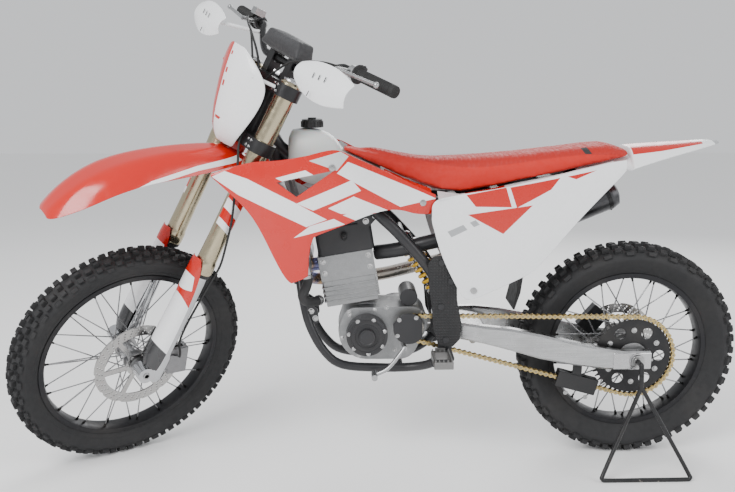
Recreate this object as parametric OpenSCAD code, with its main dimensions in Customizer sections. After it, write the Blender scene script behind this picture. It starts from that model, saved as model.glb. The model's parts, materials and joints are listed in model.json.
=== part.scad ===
// Full-size dirt bike leaning on a triangular prop stand in its hollow rear axle.
// Every piece is drawn on an upright bike: -X is forward, -Y is the rider's left, +Z is up,
// the floor is at z = 0 and x = 0 is half way between the axles. The bike is then
// steered to its left stop, leaned onto the stand and set down with both tyres on the floor.

/* [Stance] */
// Distance between the axles with the steering straight
wheelbase = 1500; // [1450:5:1550]
// Angle of the steering axis back from upright
caster = 27; // [25:0.5:29]
// Distance on the floor from the steering axis to the front contact point
trail = 117; // [105:1:128]
// Steering angle from straight ahead to either stop
steer_lock = 38; // [30:1:40]
// Lean to the left on the prop stand
lean = 4; // [3:0.5:7]

/* [Front wheel] */
// Outer radius of the front tyre over its tread
front_tyre_r = 346.5; // [335:0.5:352]
// Radius of the front tyre's shoulders
front_shoulder_r = 33; // [28:1:38]
// Half the flat width of the front tread
front_tread_half = 12; // [6:1:18]
// Radius of the front rim where the bead sits
front_bed_r = 260; // [250:1:265]
// Width of the front rim
front_rim_w = 48; // [42:1:54]
// Radius of the front brake disc
front_disc_r = 130; // [120:1:140]
// Radius of the front axle
front_axle_r = 10; // [9:0.5:12]

/* [Rear wheel] */
// Outer radius of the rear tyre over its tread
rear_tyre_r = 328; // [320:1:340]
// Radius of the rear tyre's shoulders
rear_shoulder_r = 38; // [32:1:42]
// Half the flat width of the rear tread
rear_tread_half = 20; // [14:1:24]
// Radius of the rear rim where the bead sits
rear_bed_r = 229; // [222:1:240]
// Width of the rear rim
rear_rim_w = 62; // [56:1:68]
// Radius of the rear brake disc
rear_disc_r = 118; // [108:1:124]
// Radius of the rear axle
rear_axle_r = 12.5; // [11:0.5:14]

/* [Drive] */
// Distance from one chain roller to the next
chain_pitch = 15.875; // [12.7:0.125:15.875]
// Teeth on the wheel's sprocket
rear_teeth = 48; // [44:1:50]
// Teeth on the engine's sprocket
front_teeth = 14; // [12:1:15]
// Height of the chain's side plates
chain_h = 14; // [12:0.5:15]
// Width of the chain over its side plates
chain_w = 16; // [14:0.5:18]
// Distance of the chain's middle from the bike's middle
chain_y = 78; // [76:0.5:79]

/* [Fork] */
// Distance of each fork leg from the bike's middle
leg_y = 103; // [100:1:108]
// Distance of the fork legs ahead of the steering axis
leg_offset = 22; // [18:1:26]
// Radius of the outer fork tube where the clamps hold it
leg_r = 29; // [27:0.5:30]
// Radius of the sliding tube
slider_r = 24; // [22:0.5:25]
// Height along the steering axis of the lower clamp's underside
lower_clamp_w = 1078; // [1070:1:1090]
// Height along the steering axis of the upper clamp's underside
upper_clamp_w = 1245; // [1230:1:1260]
// Thickness of each clamp
clamp_h = 36; // [30:1:40]
// Height along the steering axis of the outer tubes' lower ends
leg_bottom_w = 700; // [680:1:730]

/* [Handlebar] */
// Distance of each bar end from the bike's middle
bar_half_w = 405; // [380:1:420]
// Radius of the bar
bar_r = 11; // [10.5:0.25:14]
// Height along the steering axis of the bar in its clamps
bar_w = 1328; // [1318:1:1340]
// Radius of the grips
grip_r = 17; // [15:0.5:19]
// Length of each grip
grip_len = 130; // [115:1:140]

/* [Body] */
// Thickness of the moulded plastic
skin = 3; // [2.5:0.5:4]
// Distance of the left side panel from the bike's middle
left_panel_y = 138; // [132:1:145]
// Distance of the right side panel from the bike's middle
right_panel_y = 174; // [168:1:180]
// Distance of the shrouds from the bike's middle at the radiators
shroud_y = 165.3; // [164:0.1:172]
// Width of each radiator
radiator_w = 114; // [100:1:114]
// Radius of the silencer
silencer_r = 45; // [40:1:48]

/* [Frame] */
// Radius of the tubes from the head to the pivot
spar_r = 16; // [13:0.5:17]
// Radius of the cradle rails under the engine
rail_r = 13; // [11:0.5:14]
// Radius of the head tube
head_r = 30; // [27:1:32]
// Bore of the head tube
head_bore_r = 20; // [19:0.5:21]
// Height of the swingarm pivot
pivot_z = 425; // [422:1:430]

/* [Stand] */
// Radius of the stand's round bar
stand_r = 6; // [5:0.5:8]
// Width of the stand's foot
stand_foot_w = 262; // [220:1:320]
// Distance of the stand's foot from the line under the axle's end
stand_reach = 106; // [90:1:160]

/* [Hidden] */
$fn = 48;

// ---- Clearances ----
seat_gap = 0.3;       // between pieces that rest on each other
pin_gap = 0.1;        // between a shaft and its bore
slot_gap = 5;         // between a moving disc and the walls of its slot
chain_gap = 1.5;      // between the chain and the sprocket's rim

// ---- Small vector and matrix tools ----
function unit(v) = v / norm(v);
function flip(p, side) = [p.x, side * p.y, p.z];
function shift_matrix(v) = [[1, 0, 0, v.x], [0, 1, 0, v.y], [0, 0, 1, v.z], [0, 0, 0, 1]];
function turn_matrix(a, k) =
    let (c = cos(a), s = sin(a), d = 1 - c)
    [[c + k.x * k.x * d, k.x * k.y * d - k.z * s, k.x * k.z * d + k.y * s, 0],
     [k.y * k.x * d + k.z * s, c + k.y * k.y * d, k.y * k.z * d - k.x * s, 0],
     [k.z * k.x * d - k.y * s, k.z * k.y * d + k.x * s, c + k.z * k.z * d, 0],
     [0, 0, 0, 1]];
function place(m, p) = let (q = m * [p.x, p.y, p.z, 1]) [q.x, q.y, q.z];
function aim(m, v) = let (q = m * [v.x, v.y, v.z, 0]) [q.x, q.y, q.z];

// A smooth curve through the points, with this many steps between each two
function bend(a, b, c, d, t) =
    0.5 * (2 * b + (c - a) * t + (2 * a - 5 * b + 4 * c - d) * t * t
           + (3 * b - a - 3 * c + d) * t * t * t);
function curve(p, steps) =
    let (last = len(p) - 1)
    [for (i = [0:last - 1], k = [0:steps - 1])
        bend(p[max(i - 1, 0)], p[i], p[i + 1], p[min(i + 2, last)], k / steps),
     p[last]];
// The value at x of a broken line through [x, value] points
function follow(x, line, i = 0) =
    i >= len(line) - 2 || x <= line[i + 1][0]
    ? let (a = line[i], b = line[i + 1])
      a[1] + (b[1] - a[1]) * max(0, min(1, (x - a[0]) / (b[0] - a[0])))
    : follow(x, line, i + 1);

// ---- Stance ----
front_x = -wheelbase / 2;
rear_x = wheelbase / 2;
front_axle_pos = [front_x, 0, front_tyre_r];
rear_axle_pos = [rear_x, 0, rear_tyre_r];
steer_foot = [front_x - trail, 0, 0];
steer_dir = [sin(caster), 0, cos(caster)];
// The front axle seen from the steering axis: behind it, and up along it
axle_u = trail * cos(caster) - front_tyre_r * sin(caster);
axle_w = trail * sin(caster) + front_tyre_r * cos(caster);

steer_matrix = shift_matrix(steer_foot) * turn_matrix(steer_lock, steer_dir)
             * shift_matrix(-steer_foot);
// How far a tyre reaches from its centre along a direction that its axle makes this much of
function tyre_reach(along, r, shoulder, flat) =
    flat * abs(along) + (r - shoulder) * sqrt(1 - along * along) + shoulder;
function front_low(m) =
    place(m * steer_matrix, front_axle_pos).z
    - tyre_reach(aim(m * steer_matrix, [0, 1, 0]).z, front_tyre_r, front_shoulder_r,
                 front_tread_half);
function rear_low(m) =
    place(m, rear_axle_pos).z
    - tyre_reach(aim(m, [0, 1, 0]).z, rear_tyre_r, rear_shoulder_r, rear_tread_half);
function pitched(p) = turn_matrix(p, [0, 1, 0]) * turn_matrix(lean, [1, 0, 0]);
function pitch_step(p) = p + asin((rear_low(pitched(p)) - front_low(pitched(p))) / wheelbase);
pitch = pitch_step(pitch_step(pitch_step(0)));
leaned = shift_matrix([0, 0, -rear_low(pitched(pitch))]) * pitched(pitch);
// The origin is the middle of the floor that the parked bike covers
// Outer end of the left hand guard, from the steering axis
hand_tip = [-90, -412, bar_w + 8];
bar_end = [54, bar_half_w, bar_w + 68];
// Rear of the right grip's outer end
grip_tip = bar_end + [grip_r, 4, 0];
foremost = place(leaned * steer_matrix, front_axle_pos).x
    - tyre_reach(aim(leaned * steer_matrix, [0, 1, 0]).x, front_tyre_r, front_shoulder_r,
                 front_tread_half);
rearmost = place(leaned, rear_axle_pos).x
    + tyre_reach(aim(leaned, [0, 1, 0]).x, rear_tyre_r, rear_shoulder_r, rear_tread_half);
leftmost = place(leaned * steer_matrix, fork_point(hand_tip)).y;
rightmost = place(leaned * steer_matrix, fork_point(grip_tip)).y;
centring = shift_matrix([-(foremost + rearmost) / 2, -(leftmost + rightmost) / 2, 0]);
chassis_matrix = centring * leaned;
steering_matrix = chassis_matrix * steer_matrix;

// A point given as back from, right of and up along the steering axis
function fork_point(p) =
    steer_foot + [p.x * cos(caster) + p.z * sin(caster), p.y, p.z * cos(caster) - p.x * sin(caster)];

module on_chassis() { multmatrix(chassis_matrix) children(); }
module on_steering() { multmatrix(steering_matrix) children(); }
module on_fork() { on_steering() translate(steer_foot) rotate([0, caster, 0]) children(); }
module at_front_axle() { on_steering() translate(front_axle_pos) rotate([-90, 0, 0]) children(); }
module at_rear_axle() { on_chassis() translate(rear_axle_pos) rotate([-90, 0, 0]) children(); }
// Children drawn in X and Z, pushed from y = from to y = to
module across(from, to) {
    translate([0, to, 0]) rotate([90, 0, 0]) linear_extrude(to - from) children();
}
module both_sides() { for (side = [-1, 1]) scale_side(side) children(); }
module scale_side(side) { if (side < 0) mirror([0, 1, 0]) children(); else children(); }
module rod(a, b, r) {
    d = b - a;
    translate(a) rotate([0, acos(d.z / norm(d)), atan2(d.y, d.x)]) cylinder(h = norm(d), r = r);
}

// ---- Shapes made of points ----
// A round tube along a path; ref is a direction that the path never runs along
function ring_at(path, i, r, sides, ref) =
    let (last = len(path) - 1,
         t = unit(path[min(i + 1, last)] - path[max(i - 1, 0)]),
         a = unit(cross(t, ref)), b = cross(t, a))
    [for (k = [0:sides - 1]) path[i] + r * (cos(360 * k / sides) * a + sin(360 * k / sides) * b)];
module rings_solid(rings) {
    n = len(rings[0]);
    last = len(rings) - 1;
    points = [for (ring = rings, p = ring) p];
    walls = [for (i = [0:last - 1], k = [0:n - 1])
        let (a = i * n + k, b = i * n + (k + 1) % n)
        each [[a, b + n, b], [a, a + n, b + n]]];
    caps = [[for (k = [0:n - 1]) k], [for (k = [n - 1:-1:0]) last * n + k]];
    polyhedron(points, concat(walls, caps), convexity = 6);
}
module pipe(path, r, sides = 16, ref = [0, 1, 0]) {
    rings_solid([for (i = [0:len(path) - 1]) ring_at(path, i, r, sides, ref)]);
}
// The solid between two sheets of points with the same rows and columns
module slab(outer, inner) {
    rows = len(outer);
    cols = len(outer[0]);
    n = rows * cols;
    points = [for (row = outer, p = row) p, for (row = inner, p = row) p];
    quads = [
        for (i = [0:rows - 2], j = [0:cols - 2])
            [i * cols + j, i * cols + j + 1, (i + 1) * cols + j + 1, (i + 1) * cols + j],
        for (i = [0:rows - 2], j = [0:cols - 2])
            [n + i * cols + j, n + (i + 1) * cols + j, n + (i + 1) * cols + j + 1,
             n + i * cols + j + 1],
        for (i = [0:rows - 2]) [i * cols, (i + 1) * cols, n + (i + 1) * cols, n + i * cols],
        for (i = [0:rows - 2])
            [i * cols + cols - 1, n + i * cols + cols - 1, n + (i + 1) * cols + cols - 1,
             (i + 1) * cols + cols - 1],
        for (j = [0:cols - 2]) [j, n + j, n + j + 1, j + 1],
        for (j = [0:cols - 2])
            [n - cols + j, n - cols + j + 1, 2 * n - cols + j + 1, 2 * n - cols + j]];
    polyhedron(points, [for (q = quads) each [[q[0], q[1], q[2]], [q[0], q[2], q[3]]]],
               convexity = 8);
}
// A beam along X whose section is a box with cut corners: [x, z low, z high, y near, y far]
function beam_ring(s, cut) = [
    [s[0], s[3] + cut, s[1]], [s[0], s[4] - cut, s[1]], [s[0], s[4], s[1] + cut],
    [s[0], s[4], s[2] - cut], [s[0], s[4] - cut, s[2]], [s[0], s[3] + cut, s[2]],
    [s[0], s[3], s[2] - cut], [s[0], s[3], s[1] + cut]];
module beam(stations, cut) { rings_solid([for (s = stations) beam_ring(s, cut)]); }
// A flat plate across Y, wrapped round discs [x, z, radius] at its corners
function turning(c) =
    let (n = len(c))
    [for (i = [0:n - 1]) c[i][0] * c[(i + 1) % n][1] - c[(i + 1) % n][0] * c[i][1]]
    * [for (i = [0:n - 1]) 1];
function reversed(c) = [for (i = [len(c) - 1:-1:0]) c[i]];
// The way that the band round two discs faces between them
function facing(a, b) =
    let (d = [b[0] - a[0], b[1] - a[1]])
    atan2(d[1], d[0]) - acos((a[2] - b[2]) / norm(d));
function wrap(c) =
    let (n = len(c))
    [for (i = [0:n - 1])
        let (from = facing(c[(i + n - 1) % n], c[i]), to = facing(c[i], c[(i + 1) % n]),
             span = (to - from + 720) % 360, steps = ceil(span / 12))
        for (k = [0:steps])
            [c[i][0] + c[i][2] * cos(from + span * k / steps),
             c[i][1] + c[i][2] * sin(from + span * k / steps)]];
module plate(corners, from, to) {
    across(from, to) polygon(wrap(turning(corners) < 0 ? reversed(corners) : corners));
}

// ---- Frame ----
pivot = [185, 0, pivot_z];
spar_y = 93;
backbone_r = 19;
backbone = [fork_point([16, 0, 1158]), [-262, 0, 925], [-120, 0, 850], [-86, 0, 836]];
spar_path = [[-90, 12, 840], [-60, 52, 812], [0, 84, 758], [60, spar_y, 700], [150, 98, 590],
             [184, 103, 478]];
downtube = [fork_point([10, 0, 1164]), fork_point([46, 0, 1146]), fork_point([78, 0, 1096]),
            [-278, 0, 800], [-246, 0, 610], [-232, 0, 545]];
rail_path = [[-233, 8, 552], [-226, 30, 510], [-206, 54, 430], [-165, 62, 352], [-110, 65, 308],
             [0, 65, 297], [90, 69, 299], [145, 90, 316], [172, 96.5, 341]];
plate_in = 96;
plate_out = 110;

module main_frame() {
    color("#1b1b1d") on_chassis() {
        difference() {
            union() {
                translate(steer_foot) rotate([0, caster, 0])
                    translate([0, 0, lower_clamp_w + clamp_h + seat_gap])
                        cylinder(h = upper_clamp_w - lower_clamp_w - clamp_h - 2 * seat_gap,
                                 r = head_r);
                pipe(curve(backbone, 4), backbone_r);
                pipe(curve(downtube, 4), 20);
                both_sides() {
                    pipe(curve(spar_path, 5), spar_r, 20, [0, 0.35, 1]);
                    pipe(curve(rail_path, 5), rail_r, 16, [0.05, 1, 0]);
                    // Pivot plate, from the foot of the spar to the rail
                    plate([[152, 575, 14], [178, 520, 26], [186, pivot_z, 27], [188, 375, 20]],
                          plate_in, plate_out);
                    // Head gusset and engine mounts
                    plate([[-222, 490, 10], [-190, 470, 9], [-186, 440, 8]], 44, 52);
                    plate([[-14, 760, 10], [-58, 742, 8], [-40, 728, 8]], 68, 76);
                    plate([[156, 322, 9], [188, 372, 16], [204, 338, 12]], plate_in, plate_out);
                }
                plate([[-300, 985, 9], [-262, 925, 8], [-280, 850, 10]], -6, 6);
                // Cross tubes
                rod([202, -plate_in - 2, 334], [202, plate_in + 2, 334], 11);
                rod([62, -spar_y, 697], [62, spar_y, 697], 12);
                rod([60, -66, 300], [60, 66, 300], 10);
            }
            translate(steer_foot) rotate([0, caster, 0]) translate([0, 0, lower_clamp_w])
                cylinder(h = upper_clamp_w - lower_clamp_w + clamp_h, r = head_bore_r);
            rod([pivot.x, -plate_out - 1, pivot.z], [pivot.x, plate_out + 1, pivot.z], 9);
        }
    }
}

subframe_r = 9;
subframe_rail = [[2, 66, 800], [120, 70, 798], [240, 70, 800], [420, 64, 838], [650, 50, 880.5]];
subframe_strut = [[200, 86, 535], [250, 78, 590], [440, 68, 790], [485, 63, 838]];
module subframe() {
    color("#2a2a2c") on_chassis() {
        both_sides() {
            pipe(curve(subframe_rail, 4), subframe_r, 12);
            pipe(curve(subframe_strut, 4), subframe_r - 1, 12);
            // Lugs on the spars
            plate([[-0.4, 800.6, 9], [18, 790, 8]], 60, 72);
            plate([[202, 537, 9], [196, 520, 8]], 78, 85.7);
        }
        rod([150, -70, 798], [150, 70, 798], 8);
        rod([632, -51, 876.5], [632, 51, 876.5], 8);
        // Fender brackets
        plate([[560, 854, 8], [600, 860, 8]], -52, 52);
        plate([[470, 846, 8], [500, 852, 8]], -60, 60);
        plate([[210, 799, 6], [225, 799, 6]], -70, 70);
        plate([[330, 818, 6], [345, 822, 6]], -66, 66);
    }
}

// ---- Engine ----
crank = [-38, 403];
countershaft = [100, 425];
engine_tilt = 9;
case_half_w = 58;
cylinder_half_w = 60;
module at_crank() { translate([crank[0], 0, crank[1]]) rotate([0, -engine_tilt, 0]) children(); }

module crankcase() {
    color("#8b8d8f") on_chassis() {
        difference() {
            plate([[crank[0], crank[1], 82], [60, 372, 52], [92, 432, 50], [-70, 440, 40]],
                  -case_half_w, case_half_w + 15);
            // Room for the chain round the engine's sprocket
            across(-case_half_w - 1, -case_half_w + 2)
                translate(countershaft) circle(r = 30);
        }
    }
}
module cylinder_block() {
    color("#a9abad") on_chassis() at_crank() difference() {
        union() {
            translate([-100, -cylinder_half_w, 96]) cube([152, 2 * cylinder_half_w, 78]);
            for (i = [0:3]) translate([-106, -cylinder_half_w - 5, 112 + 14 * i])
                cube([164, 2 * cylinder_half_w + 10, 4]);
            translate([-104, -cylinder_half_w - 4, 174]) cube([160, 2 * cylinder_half_w + 8, 76]);
        }
        translate([-110, -90, 60]) cube([200, 180, 37.5]);
    }
}
module head_cover() {
    color("#161617") on_chassis() at_crank() translate([-18, 0, 250 + seat_gap])
        linear_extrude(82) offset(r = 12) square([140, 112], center = true);
}
cover_y = case_half_w + seat_gap;
module engine_covers() {
    color("#19191b") on_chassis() {
        // Ignition cover with its raised centre
        rod([crank[0], -cover_y, crank[1]], [crank[0], -cover_y - 36, crank[1]], 60);
        rod([crank[0], -cover_y - 36 - seat_gap, crank[1]], [crank[0], -cover_y - 46, crank[1]], 24);
        // Guard over the engine's sprocket
        across(-chain_y - chain_w / 2 - 15, -chain_y - chain_w / 2 - 9) difference() {
            translate(countershaft + [-16, 2]) circle(r = 46);
            translate(countershaft + [22, -60]) square([60, 120]);
        }
        rod([countershaft[0] - 52.5, -cover_y, countershaft[1] + 2],
            [countershaft[0] - 52.5, -chain_y - chain_w / 2 - 9.5, countershaft[1] + 2], 8);
        // Clutch cover, right
        rod([58, cover_y + 15, 404], [58, cover_y + 50, 404], 74);
        rod([-66, cover_y + 15, 398], [-66, cover_y + 38, 398], 46);
    }
}

// ---- Cooling ----
radiator_bottom = [-212, 0, 604];
radiator_top = [-280, 0, 866];
radiator_in = 46;
radiator_h = norm(radiator_top - radiator_bottom);
radiator_tilt = atan2(radiator_top.x - radiator_bottom.x, radiator_top.z - radiator_bottom.z);
module radiators() {
    color("#c3c5c6") on_chassis() both_sides() translate(radiator_bottom) rotate([0, radiator_tilt, 0]) {
        difference() {
            translate([-18, radiator_in, 0]) cube([36, radiator_w, radiator_h]);
            // The core lies back from the tanks at both ends
            translate([-19, radiator_in + 8, 24]) cube([7, radiator_w - 16, radiator_h - 48]);
            translate([12, radiator_in + 8, 24]) cube([7, radiator_w - 16, radiator_h - 48]);
        }
    }
}
left_hose = [[-211.4, -106, 601.8], [-206, -106, 580], [-212, -110, 556], [-222, -108, 534],
             [-212, -98, 514], [-192, -74, 505], [-172, -50, 504]];
right_hose = [[-211.6, 130, 602.6], [-206, 130, 580], [-186, 126, 566], [-150, 112, 562],
              [-122, 90, 562], [-116, 69, 562]];
module coolant_hoses() {
    color("#1c1c1e") on_chassis() {
        pipe(curve(left_hose, 4), 14, 16, [0, 1, 0.1]);
        pipe(curve(right_hose, 4), 10, 16, [0, 1, 0.1]);
    }
}

// ---- Exhaust and intake ----
silencer_a = [372, 120, 640];
silencer_b = [738, 120, 790];
silencer_dir = unit(silencer_b - silencer_a);
exhaust_path = [[-176, 24, 594], [-202, 26, 590], [-222, 48, 570], [-220, 92, 542], [-182, 126, 522],
                [-100, 134, 520], [20, 137, 532], [150, 142, 562], [250, 134, 588],
                silencer_a - 60 * silencer_dir, silencer_a + 3.2 * silencer_dir];
exhaust_r = 20;
silencer_len = norm(silencer_b - silencer_a);
module exhaust_pipe() {
    color("#9c9690") on_chassis() pipe(curve(exhaust_path, 5), exhaust_r, 16, [0.1, 0.2, 1]);
}
module silencer() {
    color("#232426") on_chassis() {
        translate(silencer_a) rotate([0, acos(silencer_dir.z), 0]) rotate_extrude() polygon([[0, 4], [24, 4], [silencer_r, 60], [silencer_r, silencer_len - 26],
            [silencer_r - 6, silencer_len - 8], [22, silencer_len], [17, silencer_len],
            [17, silencer_len - 40], [0, silencer_len - 40]]);
        // Hanger up to the subframe
        rod([600, 112, 768], [600, 62, 860], 5);
    }
}
intake_path = [[-9.2, -6, 634], [30, -22, 642], [80, -42, 655], [140, -48, 672], [252, -46, 694]];
airbox = [232, 430, -58, 50, 590, 782];
module intake() {
    color("#202022") on_chassis() {
        // Throttle body, rubber boot and air box
        pipe(curve(intake_path, 4), 22, 16);
        hull() for (z = [[airbox[4], 26], [airbox[5], 0]])
            translate([airbox[0] + 1 + z[1], airbox[2], z[0] - 4])
                cube([airbox[1] - airbox[0] - 1.6 * z[1], airbox[3] - airbox[2], 8]);
        // Starter motor over the gearbox
        rod([86, -52, 508.2], [86, 40, 508.2], 26);
    }
}

// ---- Tank ----
cap_x = -190;
tunnel_roof = [[-262, 957], [-240, 938], [-215, 922], [-120, 878], [-86, 862], [20, 850]];
tank_rows = [
    // x, top z, half width, bottom z of the lobes
    [-258, 976, 34, 910], [-246, 996, 52, 885], [-215, 1001, 62, 856], [-165, 999, 66, 846],
    [-122, 972, 62, 852], [-108, 946, 56, 864], [-100, 938, 54, 870], [-60, 920, 50, 870],
    [5, 890, 46, 862]];
module fuel_tank() {
    cols = 14;
    rows = [for (s = tank_rows)
        let (top = s[1], half = s[2], low = s[3])
        [for (j = [0:cols])
            let (a = -90 + 180 * j / cols)
            [s[0], half * sign(a) * pow(abs(sin(a)), 0.8), low + (top - low) * pow(cos(a), 0.55)]]];
    under = [for (s = tank_rows)
        let (half = s[2], low = s[3])
        [for (j = [0:cols])
            let (y = (half - 2) * (2 * j / cols - 1))
            [s[0], y, abs(y) < 27 ? max(follow(s[0], tunnel_roof), low) : low - 6]]];
    color("#d9dcdb") on_chassis() slab(rows, under);
}
module fuel_cap() {
    color("#161617") on_chassis() translate([cap_x, 0, 1001.4]) {
        cylinder(h = 22, r1 = 31, r2 = 29);
        translate([0, 0, 22 - 0.01]) cylinder(h = 5, r = 12);
    }
}

// ---- Seat ----
seat_rows = [
    // x, top z, bottom z, half width
    [-104, 955, 945, 42], [-60, 949, 925, 54], [5, 938, 896, 66], [60, 927, 871, 74],
    [112, 918, 850, 80], [160, 915, 832, 86], [223, 917, 824, 92], [301, 921, 838, 98],
    [398, 928, 858, 102], [514, 940, 883, 105], [600, 950, 903, 104], [650, 954, 914, 98],
    [688, 951, 922, 88], [708, 941, 928, 76]];
function seat_row(s) = [for (j = [0:16])
    let (a = -90 + 180 * j / 16)
    [s[0], s[3] * sign(a) * pow(abs(sin(a)), 0.55), s[2] + (s[1] - s[2]) * pow(cos(a), 0.5)]];
function seat_floor(s) = [for (j = [0:16])
    [s[0], (s[3] - 1) * (j / 8 - 1), s[2] - 3]];
module seat() {
    color("#e8402a") on_chassis()
        slab([for (s = seat_rows) seat_row(s)], [for (s = seat_rows) seat_floor(s)]);
}

// ---- Side plastics ----
// A curved panel beside the bike: rows are [x, bottom z, top z, y at the middle]
function panel_sheet(rows, side, bulge, in) = [for (s = rows)
    [for (j = [0:6])
        let (t = j / 3 - 1)
        [s[0], side * (s[3] - in + bulge * (1 - t * t)), (s[1] + s[2]) / 2 + t * (s[2] - s[1]) / 2]]];
module panel(rows, side, bulge) {
    if (side < 0) slab(panel_sheet(rows, side, bulge, 0), panel_sheet(rows, side, bulge, skin));
    else slab(panel_sheet(rows, side, bulge, skin), panel_sheet(rows, side, bulge, 0));
}
shroud_rows = [
    // x, bottom z, top z, y
    [-457, 884, 892, shroud_y + 1], [-410, 840, 908, shroud_y + 2], [-346, 778, 925, shroud_y + 3],
    [-300, 668, 925, shroud_y + 3], [-266, 598, 928, shroud_y + 2], [-249, 585, 930, shroud_y],
    [-202, 603, 938, shroud_y - 2], [-197, 712, 939, shroud_y - 2], [-125, 738, 958, shroud_y - 10],
    [-98, 746, 944, shroud_y - 17], [2, 785, 896, 128], [62, 782, 866, 116], [93, 767, 850, 112],
    [142, 767, 827, 112], [153, 800, 823, 113]];
module radiator_shrouds() {
    color("#f0391f") on_chassis() difference() {
        for (side = [-1, 1]) panel(shroud_rows, side, 4);
        // Vent that shows the radiator's tank
        across(-220, 220) polygon([[-282, 868], [-127, 898], [-230, 828]]);
    }
}
side_panel_rows = [
    // x, bottom z, top z
    [142, 748, 792], [150, 722, 808], [170, 646, 816], [222, 546, 826], [236, 526, 829],
    [257, 521, 832], [330, 555, 842], [418, 596, 862], [440, 612, 866], [549, 745, 890],
    [640, 838, 911], [684, 884, 915]];
function side_panel_y(x, side) =
    (side < 0 ? left_panel_y : right_panel_y)
    - follow(x, [[142, 10], [222, 0], [440, 0], [684, side < 0 ? 24 : 4]]);
module side_panels() {
    color("#f2f3f4") on_chassis() for (side = [-1, 1]) {
        panel([for (s = side_panel_rows) [s[0], s[1], s[2], side_panel_y(s[0], side)]], side, 3);
        // Bosses out from the subframe's rails
        for (b = [[240, 70, 800], [420, 64, 838]])
            rod([b.x, side * (b.y + subframe_r + seat_gap), b.z],
                [b.x, side * side_panel_y(b.x, side), b.z], 6);
    }
}

// ---- Fenders ----
rear_fender_rows = [
    // x, middle z, edge z, half width
    [560, 890.4, 878, 58], [640, 908.4, 886, 70], [700, 920.5, 884, 92], [709.5, 923, 886, 96],
    [712, 944, 889, 98],
    [760, 948, 904, 92], [830, 952, 922, 78], [900, 956, 938, 62], [950, 959, 950, 48],
    [975, 959, 955, 34]];
function fender_sheet(rows, in, flat) = [for (s = rows)
    [for (j = [0:12])
        let (a = j / 6 - 1, m = max(0, (abs(a) - flat) / (1 - flat)))
        [s[0], (s[3] - in * abs(a)) * a, s[2] + (s[1] - s[2]) * (1 - pow(m, 1.7)) - in]]];
module rear_fender() {
    color("#f2f3f4") on_chassis()
        slab(fender_sheet(rear_fender_rows, 0, 0.35), fender_sheet(rear_fender_rows, skin, 0.35));
}
module mud_flap() {
    color("#1c1c1e") on_chassis() {
        across(-58, 58) polygon([[404, 585.7], [422, 585.7], [414, 520], [398, 468],
                                 [392, 470], [404, 524]]);
    }
}

// ---- Swingarm ----
arm_stations = [
    // x, low z, high z, inner y, outer y
    [206, 398, 446, 58, 90], [238, 392, 442, 66, 100], [300, 384, 437, 88, 118],
    [380, 362, 428, 89, 120], [467, 336, 410, 90, 122], [560, 316, 386, 91, 122],
    [660, 302, 364, 92, 122], [712, 300, 356, 92, 122], [790, 300, 356, 92, 122]];
module swingarm() {
    color("#c9cbcd") on_chassis() difference() {
        union() {
            both_sides() beam(arm_stations, 6);
            // Pivot tube and the cross beam ahead of the tyre
            rod([pivot.x, -plate_in + 3, pivot.z], [pivot.x, plate_in - 3, pivot.z], 19);
            both_sides() plate([[pivot.x + 6, pivot.z, 17], [212, 422, 18]], 60, 88);
            plate([[222, 418, 20], [270, 412, 18], [300, 408, 15]], -66, 66);
            both_sides() plate([[236, 416, 18], [296, 408, 14]], 60, 92);
            plate([[258, 398, 12], [284, 360, 10]], -14, 14);
            both_sides() plate([[292, 404, 12], [330, 398, 10]], 60, 92);
        }
        rod([rear_x, -140, rear_tyre_r], [rear_x, 140, rear_tyre_r], rear_axle_r + pin_gap);
        rod([pivot.x, -140, pivot.z], [pivot.x, 140, pivot.z], 9);
    }
}
shock_top = [68.8, 14, 686.7];
shock_low = [220, 14, 448];
module shock_absorber() {
    d = shock_low - shock_top;
    color("#e9c22c") on_chassis() {
        translate(shock_top) rotate([0, acos(d.z / norm(d)), 0]) rotate_extrude()
            polygon([[0, 0], [16, 0], [22, 8], [22, 30], [31, 34], [31, 196], [20, 200],
                     [12, norm(d)], [0, norm(d)]]);
    }
}

// ---- Chain drive ----
rear_pitch_r = chain_pitch / (2 * sin(180 / rear_teeth));
front_pitch_r = chain_pitch / (2 * sin(180 / front_teeth));
// The loop of a belt this far outside the pitch line of both sprockets
function belt(off) =
    let (d = [rear_x, rear_tyre_r] - countershaft, run = norm(d), tilt = atan2(d[1], d[0]),
         r1 = front_pitch_r + off, r2 = rear_pitch_r + off,
         a = acos((r1 - r2) / run))
    concat([for (i = [0:12]) let (t = tilt + a + (360 - 2 * a) * i / 12)
                countershaft + r1 * [cos(t), sin(t)]],
           [for (i = [0:40]) let (t = tilt - a + 2 * a * i / 40)
                [rear_x, rear_tyre_r] + r2 * [cos(t), sin(t)]]);
module chain() {
    color("#c9a23a") on_chassis() across(-chain_y - chain_w / 2, -chain_y + chain_w / 2)
        difference() {
            polygon(belt(chain_h / 2));
            polygon(belt(-chain_h / 2));
        }
}
front_root_r = front_pitch_r - chain_h / 2 - chain_gap;
rear_root_r = rear_pitch_r - chain_h / 2 - chain_gap;
module drive_sprocket() {
    color("#8d8f91") on_chassis() {
        rod([countershaft[0], -chain_y - 3.5, countershaft[1]],
            [countershaft[0], -chain_y + 3.5, countershaft[1]], front_root_r + chain_gap - seat_gap);
        rod([countershaft[0], -chain_y + 3.5 + seat_gap, countershaft[1]],
            [countershaft[0], -case_half_w + 2 - seat_gap, countershaft[1]], 14);
    }
}
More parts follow.
